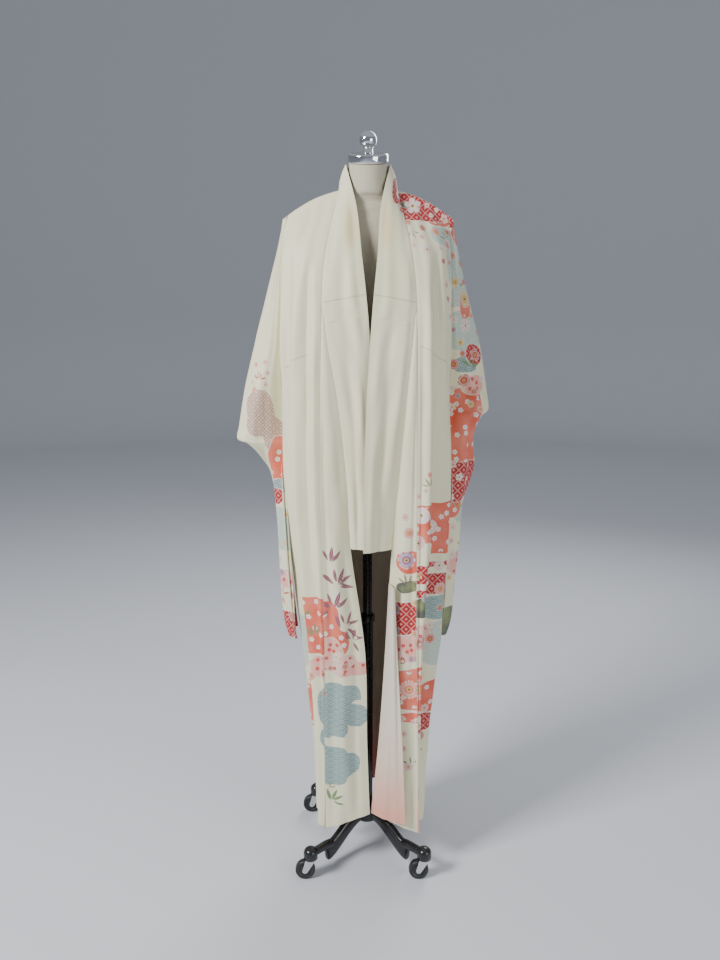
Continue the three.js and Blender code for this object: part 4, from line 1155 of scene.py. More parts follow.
@dataclass(frozen=True)
class Painting:
    """What is painted on one panel.

    Fields: areas of dye, flowers, leaves, stains (distance across, height and their reaches), tucks
    (first and last distance across, height and slope), each drawn as a painted shade line, and
    whether only the wearer's left is painted.
    """

    patches: tuple = ()
    blooms: tuple = ()
    leaves: tuple = ()
    stain: tuple = ()
    tucks: tuple = ()
    left_only: bool = False

    def lay(self, piece: bpy.types.Object, sheet: Sheet) -> None:
        """Writes the painting into attributes of the piece's places.

        Each dye's attribute is the greatest depth inside its areas. A motif's attributes are a
        place's own axes in the motif that is nearest in reaches, and how far inside it is.

        Args:
            piece: the piece to paint.
            sheet: its middle surface.
        """
        s, z = sheet.across(), sheet.places[..., 2]
        # distance from each tuck line, which the silk's shader turns into a painted shade line
        for start, end, height, slope in self.tucks:
            inside = (s > start) & (s < end)
            self.store(piece, "tuck", np.where(inside, z - height - slope * (s - start), FAR_AWAY))
        if self.left_only:
            z = np.where(sheet.places[..., 0] < 0, z - BELOW_ALL, z)
        for dye in Dye:
            own = [p.depth(s, z) for p in self.patches if p.dye is dye]
            if own:
                self.store(piece, dye.value, np.max(own, 0))
        for name, motifs, slim in (("bloom", self.blooms, 1.0), ("leaf", self.leaves, LEAF_SLIM)):
            if not motifs:
                continue
            local = np.array([m.local(s, z, slim) for m in motifs])
            far = np.hypot(local[:, 0], local[:, 1])
            nearest = far.argmin(0)
            pick = np.take_along_axis(local, nearest[None, None], 0)[0]
            facts = np.array([(m.tone, m.petals) for m in motifs])[nearest]
            self.store(piece, name, np.stack([pick[0], pick[1], facts[..., 0]], -1))
            self.store(piece, name + "_petals", facts[..., 1])
            self.store(piece, name + "_inside", CLEAR - far.min(0))
        if self.stain:
            tints = [np.exp(-((s - a) / w) ** 2 - np.abs((sheet.places[..., 2] - h) / t) ** 3)
                     for a, h, w, t in self.stain]
            self.store(piece, "stain", np.max(tints, 0))

    @staticmethod
    def store(piece: bpy.types.Object, name: str, values: Array) -> None:
        """Writes values of the outer face into a point attribute, and the same ones for the inner face.

        Args:
            piece: the shell.
            name: the attribute's name.
            values: a number or a vector for each place of the sheet.
        """
        vector = values.ndim == 3
        flat = values.reshape(-1, 3) if vector else values.reshape(-1)
        data = piece.data.attributes.new(name, "FLOAT_VECTOR" if vector else "FLOAT", "POINT").data
        both = np.concatenate([flat, flat]).ravel().astype(np.float32)
        data.foreach_set("vector" if vector else "value", both)


ALL_BLOOMS = (5, 5, 8, 16)
WARM = (Tone.PINK, Tone.SALMON, Tone.SCARLET, Tone.WHITE)
RICH = (Tone.WHITE, Tone.SALMON, Tone.VIOLET, Tone.GOLD, Tone.SCARLET)


def skirt_right() -> Painting:
    """Right front: cream above, coral and rose at the thigh, teal clouds below.

    Returns:
        The panel's painting.
    """
    patches = areas(
        coral=((170, 668, 110, 74, 8), (40, 420, 50, 60, 4)),
        rose=((215, 560, 52, 34),),
        crimson=((120, 455, 40, 58, 5),),
        teal=((222, 450, 46, 62), (205, 372, 30, 30), (235, 292, 40, 52)),
        aqua=((60, 600, 60, 70, 4),),
    )
    leaves = (*spray(185, 640, 17, (62, 95, 128, 152), Tone.VIOLET),
              *spray(150, 690, 15, (30, 75, 110), Tone.WHITE),
              *spray(232, 172, 15, (20, 64, 130, 162), Tone.WHITE))
    blooms = strewn((20, 240, 480, 560), 8, (9, 15), (5, 8), WARM, 3)
    # the tuck across the front is drawn as a painted shade line
    return Painting(patches, blooms + strewn((60, 160, 400, 500), 5, (11, 17), ALL_BLOOMS, RICH, 4), leaves,
                    tucks=((60, 150, 1293, 0.36),))


def overlap_right() -> Painting:
    """Right overlap: sprays of wine-coloured bamboo, a coral and a rose cloud, teal clouds below.

    Returns:
        The panel's painting.
    """
    patches = areas(
        coral=((0, 672, 42, 66), (34, 628, 32, 34)),
        rose=((8, 596, 40, 44), (48, 568, 40, 30), (88, 556, 30, 20)),
        teal=((6, 462, 60, 62, 3), (58, 478, 40, 38), (84, 430, 30, 30), (20, 400, 42, 30),
              (14, 300, 52, 58, 3), (62, 300, 34, 34)),
        bare=((44, 362, 42, 15), (88, 466, 18, 7)),
    )
    wine = (*spray(20, 826, 21, (82, 52, 118), Tone.GOLD),
            *spray(34, 772, 23, (62, 30, 96, 140, -8), Tone.GOLD),
            *spray(26, 712, 23, (70, 36, 112, 150, -70, 200), Tone.GOLD),
            *spray(54, 668, 19, (62, 20, 108, -40, -80), Tone.GOLD),
            *spray(74, 628, 15, (75, 20, 130, -60), Tone.GOLD))
    green = (*spray(16, 196, 18, (64, 30, -12, 105), Tone.WHITE),
             *spray(10, 232, 12, (70, 24), Tone.PINK))
    blooms = (Motif(30, 590, 12, 20, 5, Tone.WHITE), Motif(52, 566, 10, 50, 5, Tone.SCARLET),
              Motif(70, 572, 8, 10, 5, Tone.WHITE), Motif(14, 560, 8, 80, 5, Tone.SCARLET))
    return Painting(patches, blooms, wine + green)


def skirt_left() -> Painting:
    """Left front: the painted shoulder, then cream, and from the hip down coral, crimson and flowers.

    Returns:
        The panel's painting.
    """
    shoulder = areas(
        crimson=((80, 1665, 90, 36, 6),),
        aqua=((30, 1596, 44, 24), (16, 1530, 24, 44, 4)),
        coral=((30, 1634, 34, 16),),
        slate=((118, 1668, 14, 9),),
        rose=((10, 1450, 16, 34),),
    )
    skirt = areas(
        coral=((120, 908, 130, 66, 8), (200, 500, 46, 66, 3), (110, 470, 50, 44), (40, 500, 50, 70, 4)),
        bare=((190, 856, 44, 26), (120, 802, 44, 10), (196, 770, 40, 9)),
        crimson=((150, 782, 110, 42, 5), (150, 400, 60, 26), (236, 262, 13, 20)),
        teal=((130, 705, 60, 32),),
        slate=((208, 716, 34, 26),),
        rose=((190, 640, 50, 34),),
        aqua=((110, 610, 60, 60), (50, 700, 50, 90, 4)),
    )
    discs = (Motif(208, 948, 22, 0, 0, Tone.WHITE), Motif(150, 912, 20, 0, 16, Tone.WHITE),
             Motif(218, 880, 20, 0, 16, Tone.PINK), Motif(206, 505, 30, 0, 16, Tone.SALMON),
             Motif(96, 1668, 22, 12, 5, Tone.WHITE), Motif(52, 1604, 13, 30, 5, Tone.SALMON))
    blooms = discs + strewn((90, 240, 620, 860), 12, (10, 17), ALL_BLOOMS, RICH, 11, discs)
    blooms += strewn((40, 240, 290, 450), 10, (9, 16), (5, 8, 16), WARM, 12, blooms)
    blooms += strewn((8, 150, 1560, 1695), 20, (7, 13), (5, 8), WARM, 13, blooms)
    blooms += strewn((4, 60, 1400, 1550), 8, (6, 10), (5, 8), WARM, 15, blooms)
    blooms += strewn((150, 236, 990, 1070), 5, (6, 9), (5,), (Tone.SALMON, Tone.PINK), 14, blooms)
    leaves = (*spray(180, 1015, 13, (60, 100, 20, 150), Tone.PINK),
              *spray(214, 610, 13, (50, 90, 140), Tone.WHITE),
              *spray(150, 318, 13, (40, 80, -20, 120, 160), Tone.WHITE),
              *spray(224, 196, 11, (30, 70, 140), Tone.SALMON),
              *spray(26, 1588, 10, (20, 80, 140), Tone.WHITE),
              *spray(120, 1606, 10, (200, 250, 300), Tone.PINK))
    # the tuck across the front is drawn as a painted shade line
    return Painting(skirt + shoulder, blooms, leaves, tucks=((70, 160, 1305, 0.44),))


def overlap_left() -> Painting:
    """Left overlap, as far as it shows beside its turned-out edge.

    Returns:
        The panel's painting.
    """
    patches = areas(
        crimson=((14, 690, 50, 42, 6),),
        rose=((16, 612, 44, 34, 4),),
        coral=((12, 505, 46, 56, 4), (16, 430, 44, 14), (20, 832, 34, 30)),
        slate=((24, 770, 30, 16),),
    )
    fixed = (Motif(26, 838, 24, 0, 8, Tone.VIOLET), Motif(20, 505, 26, 0, 16, Tone.SALMON),
             Motif(20, 905, 15, 0, 16, Tone.SALMON), Motif(30, 944, 11, 0, 16, Tone.PINK))
    blooms = fixed + strewn((0, 60, 280, 430), 6, (8, 13), (5, 8), (Tone.SALMON, Tone.PINK), 21, fixed)
    blooms += strewn((0, 60, 570, 740), 5, (9, 14), ALL_BLOOMS, RICH, 22, blooms)
    leaves = (*spray(24, 778, 13, (30, 75, 120, 165, 215), Tone.VIOLET),
              *spray(18, 300, 12, (30, 80, 130), Tone.WHITE), *spray(26, 572, 10, (20, 70), Tone.SALMON))
    return Painting(patches, blooms, leaves)


def sleeve_left() -> Painting:
    """Left sleeve: aqua above the cuff, coral and crimson below it, pale with gold flowers at the end.

    Returns:
        The painting of both faces.
    """
    patches = areas(
        crimson=((20, 1642, 60, 24, 6), (62, 1324, 26, 26), (40, 1010, 70, 52, 5)),
        aqua=((20, 1525, 62, 92, 4), (40, 1380, 50, 48, 4), (60, 930, 40, 30)),
        coral=((44, 1440, 24, 34), (26, 1130, 60, 118, 6), (10, 960, 30, 40), (30, 1606, 26, 26)),
        teal=((36, 1300, 34, 20), (70, 730, 34, 26)),
        rose=((60, 1250, 34, 24), (50, 800, 40, 34)),
        slate=((50, 640, 90, 46, 6),),
    )
    fixed = (Motif(48, 1455, 22, 0, 16, Tone.GOLD), Motif(40, 1392, 19, 0, 8, Tone.WHITE),
             Motif(66, 1322, 17, 0, 5, Tone.SCARLET), Motif(34, 1262, 18, 0, 5, Tone.SCARLET),
             Motif(62, 1010, 18, 0, 16, Tone.WHITE))
    blooms = fixed + strewn((4, 90, 1190, 1640), 30, (8, 15), ALL_BLOOMS, RICH, 31, fixed)
    blooms += strewn((4, 110, 760, 920), 12, (9, 16), (8, 16), (Tone.GOLD, Tone.PINK, Tone.WHITE), 32, blooms)
    blooms += strewn((4, 100, 960, 1060), 6, (9, 13), (5, 8), (Tone.WHITE, Tone.PINK), 33, blooms)
    leaves = (*spray(50, 1292, 14, (20, 60, 100, 140), Tone.WHITE),
              *spray(30, 940, 13, (30, 80, 130), Tone.PINK),
              *spray(60, 860, 14, (200, 250, 300, 340), Tone.WHITE),
              *spray(24, 1480, 12, (30, 90, 150), Tone.WHITE))
    return Painting(patches, blooms, leaves)


def sleeve_right() -> Painting:
    """Right sleeve: cream, dotted mauve clouds at the cuff, then pale aqua, and crimson at the end.

    Returns:
        The painting of both faces.
    """
    patches = areas(
        mauve=((60, 1180, 38, 60, 3), (26, 1130, 30, 44)),
        coral=((18, 1060, 26, 66), (70, 806, 34, 30), (90, 700, 30, 24)),
        teal=((20, 1000, 22, 18),),
        crimson=((44, 972, 34, 22), (50, 636, 90, 38, 6)),
        aqua=((40, 890, 60, 56, 4),),
        rose=((24, 760, 30, 24),),
    )
    fixed = strewn((30, 82, 1230, 1310), 7, (5, 8), (5,), (Tone.SALMON, Tone.PINK), 41)
    blooms = fixed + strewn((4, 100, 740, 980), 12, (9, 15), ALL_BLOOMS, RICH, 42, fixed)
    blooms += strewn((4, 100, 660, 730), 5, (11, 16), (5,), (Tone.SCARLET, Tone.SALMON), 43, blooms)
    leaves = (*spray(56, 1262, 10, (40, 80, 120, 160), Tone.SALMON),
              *spray(50, 850, 13, (30, 70, 110), Tone.WHITE),
              *spray(40, 716, 13, (10, 60, 110, 160, 250), Tone.SALMON))
    return Painting(patches, blooms, leaves)


def back_painting(side: Side) -> Painting:
    """A back panel: cream, with clouds and flowers round the hem, and on the left side a painted shoulder.

    Args:
        side: the wearer's side.

    Returns:
        The panel's painting.
    """
    patches = areas(
        teal=((60, 420, 90, 50), (20, 360, 60, 34), (250, 300, 60, 50)),
        coral=((230, 640, 90, 84, 6), (120, 280, 80, 40)),
        rose=((150, 560, 70, 34),),
        crimson=((250, 500, 60, 46, 4),),
        aqua=((180, 420, 70, 50),),
    )
    seed = 60 + side.value * 4
    fixed = (Motif(228, 690, 28, 0, 16, Tone.WHITE), Motif(250, 600, 24, 0, 5, Tone.PINK),
             Motif(60, 300, 24, 0, 16, Tone.SALMON))
    blooms = fixed + strewn((10, 290, 230, 620), 22, (9, 18), ALL_BLOOMS, RICH, seed, fixed)
    leaves = (*spray(90, 540, 16, (40, 80, 120, 160), Tone.GOLD),
              *spray(160, 190, 16, (20, 60, 110, 150), Tone.WHITE),
              *spray(60, 200, 14, (30, 90, 140), Tone.WHITE))
    if side is Side.LEFT:
        patches += areas(crimson=((180, 1640, 90, 34, 5),), aqua=((270, 1560, 50, 60),),
                         coral=((250, 1480, 50, 40),), rose=((280, 1410, 34, 40),))
        blooms += strewn((110, 290, 1400, 1680), 14, (9, 17), ALL_BLOOMS, RICH, 71, blooms)
    return Painting(patches, blooms, leaves)


def over_collar_painting() -> Painting:
    """Over-collar: a red edge with plum blossoms on the left, a stain, and a painted shade line along the
    cross seam.

    Returns:
        The band's painting.
    """
    patches = areas(crimson=((10, 1700, 34, 36, 5),), coral=((8, 1655, 16, 9),))
    blooms = (Motif(14, 1692, 13, 20, 5, Tone.WHITE), Motif(20, 1664, 7, 50, 5, Tone.PINK))
    return Painting(patches, blooms, stain=((60, 1610, 16, 55),), tucks=((1, 140, 1441, 0.17),),
                    left_only=True)


# Shader maths and finishes

RELIEF_HEIGHT = 0.0005


class Value:
    """A number in a material: Python's operators on it add Math nodes."""

    def __init__(self, graph: "Graph", socket: bpy.types.NodeSocket) -> None:
        """Wraps a socket of the graph."""
        self.graph, self.socket = graph, socket

    def math(self, operation: str, *others: "Value | float") -> "Value":
        """One Math node on this number and others."""
        inputs = {i: value for i, value in enumerate((self, *others))}
        return self.graph.node("ShaderNodeMath", {"operation": operation}, inputs).value()

    def __add__(self, other: "Value | float") -> "Value":
        """Sum."""
        return self.math("ADD", other)

    __radd__ = __add__

    def __mul__(self, other: "Value | float") -> "Value":
        """Product."""
        return self.math("MULTIPLY", other)

    __rmul__ = __mul__

    def __sub__(self, other: "Value | float") -> "Value":
        """Difference."""
        return self.math("SUBTRACT", other)

    def __rsub__(self, other: float) -> "Value":
        """Difference from a plain number."""
        return self * -1 + other

    def __truediv__(self, other: "Value | float") -> "Value":
        """Quotient."""
        return self.math("DIVIDE", other)

    def __pow__(self, other: "Value | float") -> "Value":
        """Power."""
        return self.math("POWER", other)

    def __lt__(self, other: "Value | float") -> "Value":
        """One where this number is the smaller, otherwise nought."""
        return self.math("LESS_THAN", other)

    def __gt__(self, other: "Value | float") -> "Value":
        """One where this number is the greater, otherwise nought."""
        return self.math("GREATER_THAN", other)

    def __abs__(self) -> "Value":
        """Size without sign."""
        return self.math("ABSOLUTE")

    def held(self) -> "Value":
        """The number held from 0 to 1."""
        return self.math("MAXIMUM", 0.0).math("MINIMUM", 1.0)


class Made:
    """A node just made, with its outputs as values."""

    def __init__(self, graph: "Graph", node: bpy.types.Node) -> None:
        """Wraps a node of the graph."""
        self.graph, self.made = graph, node

    def value(self, output: int | str = 0) -> Value:
        """One output as a value."""
        return Value(self.graph, self.made.outputs[output])


class Graph:
    """A material and its nodes."""

    def __init__(self, name: str) -> None:
        """Starts a material with its shader.

        Args:
            name: the material's name.
        """
        self.material = bpy.data.materials.new(name)
        self.material.use_nodes = True
        self.tree = self.material.node_tree
        self.shader = self.tree.nodes["Principled BSDF"]

    def node(self, kind: str, settings: dict | None = None, inputs: dict | None = None) -> Made:
        """Adds one node.

        Args:
            kind: the node's type.
            settings: its settings, which are set first.
            inputs: values or links of its sockets, by name or number.

        Returns:
            The node.
        """
        node = self.tree.nodes.new(kind)
        for key, setting in (settings or {}).items():
            setattr(node, key, setting)
        for key, value in (inputs or {}).items():
            self.feed(node.inputs[key], value)
        return Made(self, node)

    def feed(self, socket: bpy.types.NodeSocket, value: object) -> None:
        """Links a value to a socket, or sets the socket.

        Args:
            socket: the input.
            value: a Value to link or a plain value.
        """
        if isinstance(value, Value):
            self.tree.links.new(value.socket, socket)
        else:
            socket.default_value = value

    def ramp(self, factor: Value, stops: Sequence[tuple], steps: bool = True) -> Value:
        """A colour ramp with the given places and colours, in steps or smooth.

        Args:
            factor: place on the ramp.
            stops: place and colour of each stop.
            steps: whether it doesn't blend.

        Returns:
            The colour.
        """
        made = self.node("ShaderNodeValToRGB", {}, {0: factor})
        band = made.made.color_ramp
        band.interpolation = "CONSTANT" if steps else "LINEAR"
        while len(band.elements) < len(stops):
            band.elements.new(0.5)
        for element, (place, colour) in zip(band.elements, stops):
            element.position, element.color = place, (*colour, 1)
        return made.value()

    def mix(self, factor: Value | float, under: Value | tuple, over: Value | tuple) -> Value:
        """The colour under, with the colour over laid on it by the factor."""
        full = [c if isinstance(c, Value) else (*c, 1) for c in (under, over)]
        return self.node("ShaderNodeMix", {"data_type": "RGBA"}, {0: factor, 6: full[0], 7: full[1]}).value(2)

    def attribute(self, name: str, output: int = 2) -> Value:
        """A point attribute: output 2 is a number and 1 a vector."""
        return self.node("ShaderNodeAttribute", {"attribute_name": name}).value(output)

    def split(self, vector: Value) -> tuple[Value, Value, Value]:
        """The three numbers of a vector."""
        made = self.node("ShaderNodeSeparateXYZ", {}, {0: vector})
        return made.value(0), made.value(1), made.value(2)

    def noise(self, vector: Value, scale: float, detail: float = 2.0) -> Value:
        """Soft noise."""
        inputs = {"Vector": vector, "Scale": scale, "Detail": detail}
        return self.node("ShaderNodeTexNoise", {}, inputs).value(0)

    def objects(self) -> Value:
        """Object coordinates in metres."""
        return self.node("ShaderNodeTexCoord").value("Object")

    def bump(self, height: Value, strength: float, distance: float) -> None:
        """Feeds the shader's normal with a height."""
        made = self.node("ShaderNodeBump", {}, {"Strength": strength, "Distance": distance, "Height": height})
        self.feed(self.shader.inputs["Normal"], made.value())

    def surface(self, **sockets: object) -> None:
        """Sets or links the shader's own sockets; underscores stand for spaces.

        Args:
            **sockets: values or links by the socket's name.
        """
        for key, value in sockets.items():
            full = (*value, 1) if isinstance(value, tuple) else value
            self.feed(self.shader.inputs[key.replace("_", " ")], full)


@dataclass(frozen=True)
class Crepe:
    """The grain and sheen that all the silk has."""

    roughness: float = 0.46
    unevenness: float = 0.14
    sheen: float = 0.25
    sheen_roughness: float = 0.4
    gloss: float = 0.35
    grain: float = 620
    slub: float = 60
    slub_share: float = 0.6
    relief: float = 0.22

    def finish(self, graph: Graph, colour: Value | tuple) -> bpy.types.Material:
        """Adds the crepe's grain and sheen to a colour.

        Args:
            graph: the material so far.
            colour: its colour.

        Returns:
            The material.
        """
        place = graph.objects()
        fine = graph.noise(place, self.grain, 1)
        broad = graph.noise(place, self.slub)
        graph.surface(Base_Color=colour, Roughness=self.roughness + self.unevenness * fine,
                      Sheen_Weight=self.sheen, Sheen_Roughness=self.sheen_roughness,
                      Specular_IOR_Level=self.gloss)
        graph.bump(fine + broad * self.slub_share, self.relief, RELIEF_HEIGHT)
        return graph.material


@dataclass(frozen=True)
class PlainSilk:
    """Undyed silk with faint clouds of age."""

    name: str
    colour: tuple
    aged: tuple
    stain: tuple = (0.62, 0.44, 0.16)
    shadow: tuple = (0.3, 0.3, 0.2)
    clouds: float = 3.2
    stain_share: float = 0.5
    # reach and strength of the painted shade along seams and tucks
    seam_reach: float = 3.2
    seam_shade_share: float = 0.42
    tuck_reach: float = 2.6
    tuck_shade_share: float = 0.5
    crepe: Crepe = Crepe()

    def ground(self, graph: Graph) -> Value:
        """The ground colour: the fresh silk with soft clouds of the aged one, and stains.

        Args:
            graph: the material so far.

        Returns:
            The colour.
        """
        clouds = graph.noise(graph.objects(), self.clouds, 3)
        base = graph.mix(((clouds - 0.42) * 3).held() * 0.6, self.colour, self.aged)
        return graph.mix(graph.attribute("stain") * self.stain_share, base, self.stain)

    def with_seam_shade(self, graph: Graph, colour: Value) -> Value:
        """A colour with a thin painted shade along its seams and tucks, which fades away from the line.

        Args:
            graph: the material so far.
            colour: the cloth's colour.

        Returns:
            The new colour.
        """
        seam_line, tuck = graph.attribute("seam"), abs(graph.attribute("tuck"))
        # painted shade: darker on the seam and tuck lines and fading away from them, standing in for the
        # shade in their creases
        shade = (1 - seam_line / self.seam_reach).held() * (seam_line > 0.01) * self.seam_shade_share
        tuck_shade = (1 - tuck / self.tuck_reach).held() * (tuck > 0.00001) * self.tuck_shade_share
        return graph.mix(shade.math("MAXIMUM", tuck_shade), colour, self.shadow)

    def make(self) -> bpy.types.Material:
        """The finish as a material."""
        graph = Graph(self.name)
        return self.crepe.finish(graph, self.with_seam_shade(graph, self.ground(graph)))


@dataclass(frozen=True)
class LiningSilk:
    """Lining: off-white above, shading into rose towards the hem."""

    name: str = "lining_silk"
    colour: tuple = (0.72, 0.64, 0.53)
    rose: tuple = (0.76, 0.34, 0.25)
    rose_from: float = 0.39
    rose_growth: float = 3.6
    wander: float = 0.12
    crepe: Crepe = Crepe(sheen=0.15, grain=900)

    def make(self) -> bpy.types.Material:
        """The finish as a material: the rose grows with the square of the way down from its start.

        Returns:
            The material.
        """
        graph = Graph(self.name)
        place = graph.objects()
        _, _, z = graph.split(place)
        wander = graph.noise(place, 9) * self.wander
        share = ((self.rose_from - z + wander) * self.rose_growth).held()
        return self.crepe.finish(graph, graph.mix(share * share * 0.9, self.colour, self.rose))


@dataclass(frozen=True)
class PaintedSilk(PlainSilk):
    """Silk with painted areas, flowers and leaves, read from the piece's own attributes."""

    coral: tuple = (0.7, 0.11, 0.06)
    pale_coral: tuple = (0.76, 0.21, 0.14)
    rose: tuple = (0.8, 0.4, 0.33)
    crimson: tuple = (0.42, 0.018, 0.015)
    teal: tuple = (0.22, 0.34, 0.33)
    deep_teal: tuple = (0.17, 0.27, 0.29)
    mauve: tuple = (0.5, 0.3, 0.24)
    aqua: tuple = (0.45, 0.56, 0.48)
    slate: tuple = (0.1, 0.11, 0.085)
    line: tuple = (0.75, 0.72, 0.6)
    tones: tuple = ((0.78, 0.76, 0.7), (0.76, 0.42, 0.4), (0.74, 0.22, 0.15), (0.55, 0.035, 0.03),
                    (0.3, 0.13, 0.3), (0.66, 0.45, 0.12), (0.06, 0.05, 0.07))
    leaf_tones: tuple = ((0.14, 0.24, 0.08), (0.3, 0.34, 0.14), (0.5, 0.12, 0.08), (0.5, 0.1, 0.06),
                         (0.25, 0.2, 0.08), (0.26, 0.07, 0.11), (0.08, 0.1, 0.06))
    wave_size: float = 15.0
    lattice_size: float = 13.0
    dot_size: float = 9.0
    cloud_scale: float = 14
    wander_scale: float = 22
    wander: float = 12
    line_width: float = 1.1
    edge: float = 1.6
    sprinkled: tuple = ((Dye.CORAL, 0.03, 0), (Dye.ROSE, 0.022, 3))
    eye: float = 0.1
    heart: float = 0.24
    ring: float = 0.55
    brim: float = 0.86

    @staticmethod
    def waves(s: Value, z: Value, size: float) -> Value:
        """Lines of overlapping wave scales.

        Scales are discs of a radius on rows half a radius apart, every second row shifted by a
        radius; the lower row lies in front. The lines are rings at thirds of the radius.

        Args:
            s: distance across the cloth in millimetres.
            z: height in millimetres.
            size: a scale's radius.

        Returns:
            One on a line, otherwise nought.
        """
        step = size / 2
        row = (z / step).math("FLOOR")
        odd = row.math("MODULO", 2.0).math("ABSOLUTE")
        above = z - row * step
        near = (s - odd * size).math("PINGPONG", size)
        front = (s - (1 - odd) * size).math("PINGPONG", size)
        behind = (near * near + above * above) ** 0.5
        before = (front * front + (above + step) * (above + step)) ** 0.5
        covered = before < size
        far = before * covered + behind * (1 - covered)
        return (far / size * 3).math("FRACT") < 0.32

    @staticmethod
    def lattice(s: Value, z: Value, size: float) -> Value:
        """Crossed slanting lines with a dot in each opening.

        Args:
            s: distance across the cloth in millimetres.
            z: height in millimetres.
            size: half the way between lines.

        Returns:
            One on a line or a dot, otherwise nought.
        """
        one, other = (s + z).math("PINGPONG", size), (s - z).math("PINGPONG", size)
        lines = one.math("MINIMUM", other) < size * 0.14
        dots = ((size - one).math("MAXIMUM", size - other)) < size * 0.3
        return lines.math("MAXIMUM", dots)

    @staticmethod
    def petals(x: Value, y: Value, count: Value | float) -> tuple[Value, Value, Value]:
        """A flower in its own axes.

        The edge lies at one less a notch between the petals, which is deeper where they are few:
        1.9 over the count, times one less the size of the cosine of half the count times the angle.

        Args:
            x: the way along from its middle, in reaches.
            y: the way across.
            count: how many petals, or nought for a disc.

        Returns:
            The flower's mask, the distance from its middle, and the gaps between its petals.
        """
        far = (x * x + y * y) ** 0.5
        angle = y.math("ARCTAN2", x)
        lobe = abs((angle * (count * 0.5)).math("COSINE"))
        notch = (1 - lobe ** 0.8) * 1.9 / (count + 0.5)
        return ((0.98 - notch - far) * 14).held(), far, (lobe < 0.25) * (far > 0.24)

    def sprinkle(self, graph: Graph, colour: Value, vector: Value, mask: Value, cell: float,
                 tone: tuple) -> Value:
        """Lays small flowers over a colour, one near the middle of each cell of a loose grid.

        Args:
            graph: the material.
            colour: what they lie on.
            vector: place on the cloth in metres.
            mask: where they may lie.
            cell: size of a cell in metres.
            tone: their colour.

        Returns:
            The new colour.
        """
        cells = graph.node("ShaderNodeTexVoronoi", {"voronoi_dimensions": "2D"},
                           {"Vector": vector, "Scale": 1 / cell, "Randomness": 0.75})
        apart = graph.node("ShaderNodeVectorMath", {"operation": "SUBTRACT"},
                           {0: vector, 1: cells.value("Position")}).value()
        x, y, _ = graph.split(apart)
        scale = 1 / (cell * 0.24)
        inside, far, _ = self.petals(x * scale, y * scale, 5.0)
        return graph.mix(inside * (far > 0.2) * mask, colour, tone)

    def make(self) -> bpy.types.Material:
        """The finish as a material: ground, dyes, flowers and leaves, one laid over the other.

        Returns:
            The material.
        """
        graph = Graph(self.name)
        vector = graph.node("ShaderNodeUVMap", {"uv_map": "cloth"}).value()
        across, up, _ = graph.split(vector)
        s, z = across * 1000, up * 1000
        shade = graph.noise(vector, self.cloud_scale, 3)
        colour = self.ground(graph)
        net, mesh = self.waves(s, z, self.wave_size), self.lattice(s, z, self.lattice_size)
        dots = self.lattice(s, z, self.dot_size)
        deep = graph.mix((shade - 0.4).held() * 2, self.teal, self.deep_teal)
        dyes = {
            Dye.AQUA: graph.mix(net * 0.65, self.aqua, self.line),
            Dye.MAUVE: graph.mix(dots * 0.7, self.mauve, self.line),
            Dye.CORAL: graph.mix(((shade - 0.4) * 4).held(), self.coral, self.pale_coral),
            Dye.ROSE: graph.mix(((shade - 0.45) * 5).held() * 0.5, self.rose, self.line),
            Dye.TEAL: graph.mix(net * 0.55, deep, self.line),
            Dye.CRIMSON: graph.mix(mesh * 0.6, self.crimson, self.tones[1]),
            Dye.SLATE: graph.mix(((shade - 0.45) * 6).held() * 0.7, self.slate, self.leaf_tones[1]),
            Dye.BARE: self.colour,
        }
        wander = (graph.noise(vector, self.wander_scale) - 0.5) * self.wander
        for dye, fill in dyes.items():
            depth = graph.attribute(dye.value)
            depth = depth + wander * (abs(depth) > 0.0001)
            colour = graph.mix((depth * self.edge).held(), colour, self.line)
            colour = graph.mix(((depth - self.line_width) * self.edge).held(), colour, fill)
            for cell, tone in ((c, t) for d, c, t in self.sprinkled if d is dye):
                colour = self.sprinkle(graph, colour, vector, (depth - 5).held(), cell, self.tones[tone])
        colour = self.flowers(graph, self.leafy(graph, colour))
        # painted shade along the seams and tucks, then the crepe finish
        return self.crepe.finish(graph, self.with_seam_shade(graph, colour))

    @staticmethod
    def steps(colours: tuple) -> list[tuple]:
        """Ramp stops of equal width."""
        return [(i / len(colours), colour) for i, colour in enumerate(colours)]

    def flowers(self, graph: Graph, colour: Value) -> Value:
        """Lays the flowers and roundels over a colour.

        Args:
            graph: the material so far.
            colour: what they lie on.

        Returns:
            The new colour.
        """
        x, y, tone = graph.split(graph.attribute("bloom", 1))
        here = graph.attribute("bloom_inside") > 0.0
        inside, far, gaps = self.petals(x, y, graph.attribute("bloom_petals"))
        body = graph.ramp(tone, self.steps(self.tones))
        rim = graph.ramp(tone, self.steps((self.tones[1], *self.tones[:1] * 5, self.tones[5])))
        petal = graph.mix((far * 1.3 - 0.35).held() * 0.55, body, rim)
        petal = graph.mix(gaps * 0.6, petal, self.tones[3])
        petal = graph.mix((abs(far - self.ring) < 0.05) * 0.5, petal, rim)
        petal = graph.mix((far > self.brim) * 0.9, petal, self.line)
        petal = graph.mix(far < self.heart, petal, self.tones[5])
        petal = graph.mix(far < self.eye, petal, self.tones[6])
        return graph.mix(inside * here, colour, petal)

    def leafy(self, graph: Graph, colour: Value) -> Value:
        """Lays the leaves over a colour.

        A leaf is where the size of Y is under one less X squared, with a vein where Y is nought.

        Args:
            graph: the material so far.
            colour: what they lie on.

        Returns:
            The new colour.
        """
        x, y, tone = graph.split(graph.attribute("leaf", 1))
        here = graph.attribute("leaf_inside") > 0.0
        inside = ((1 - x * x - abs(y)) * 5).held() * here
        body = graph.ramp(tone, self.steps(self.leaf_tones))
        return graph.mix(inside, colour, graph.mix((abs(y) < 0.1) * 0.4, body, self.line))


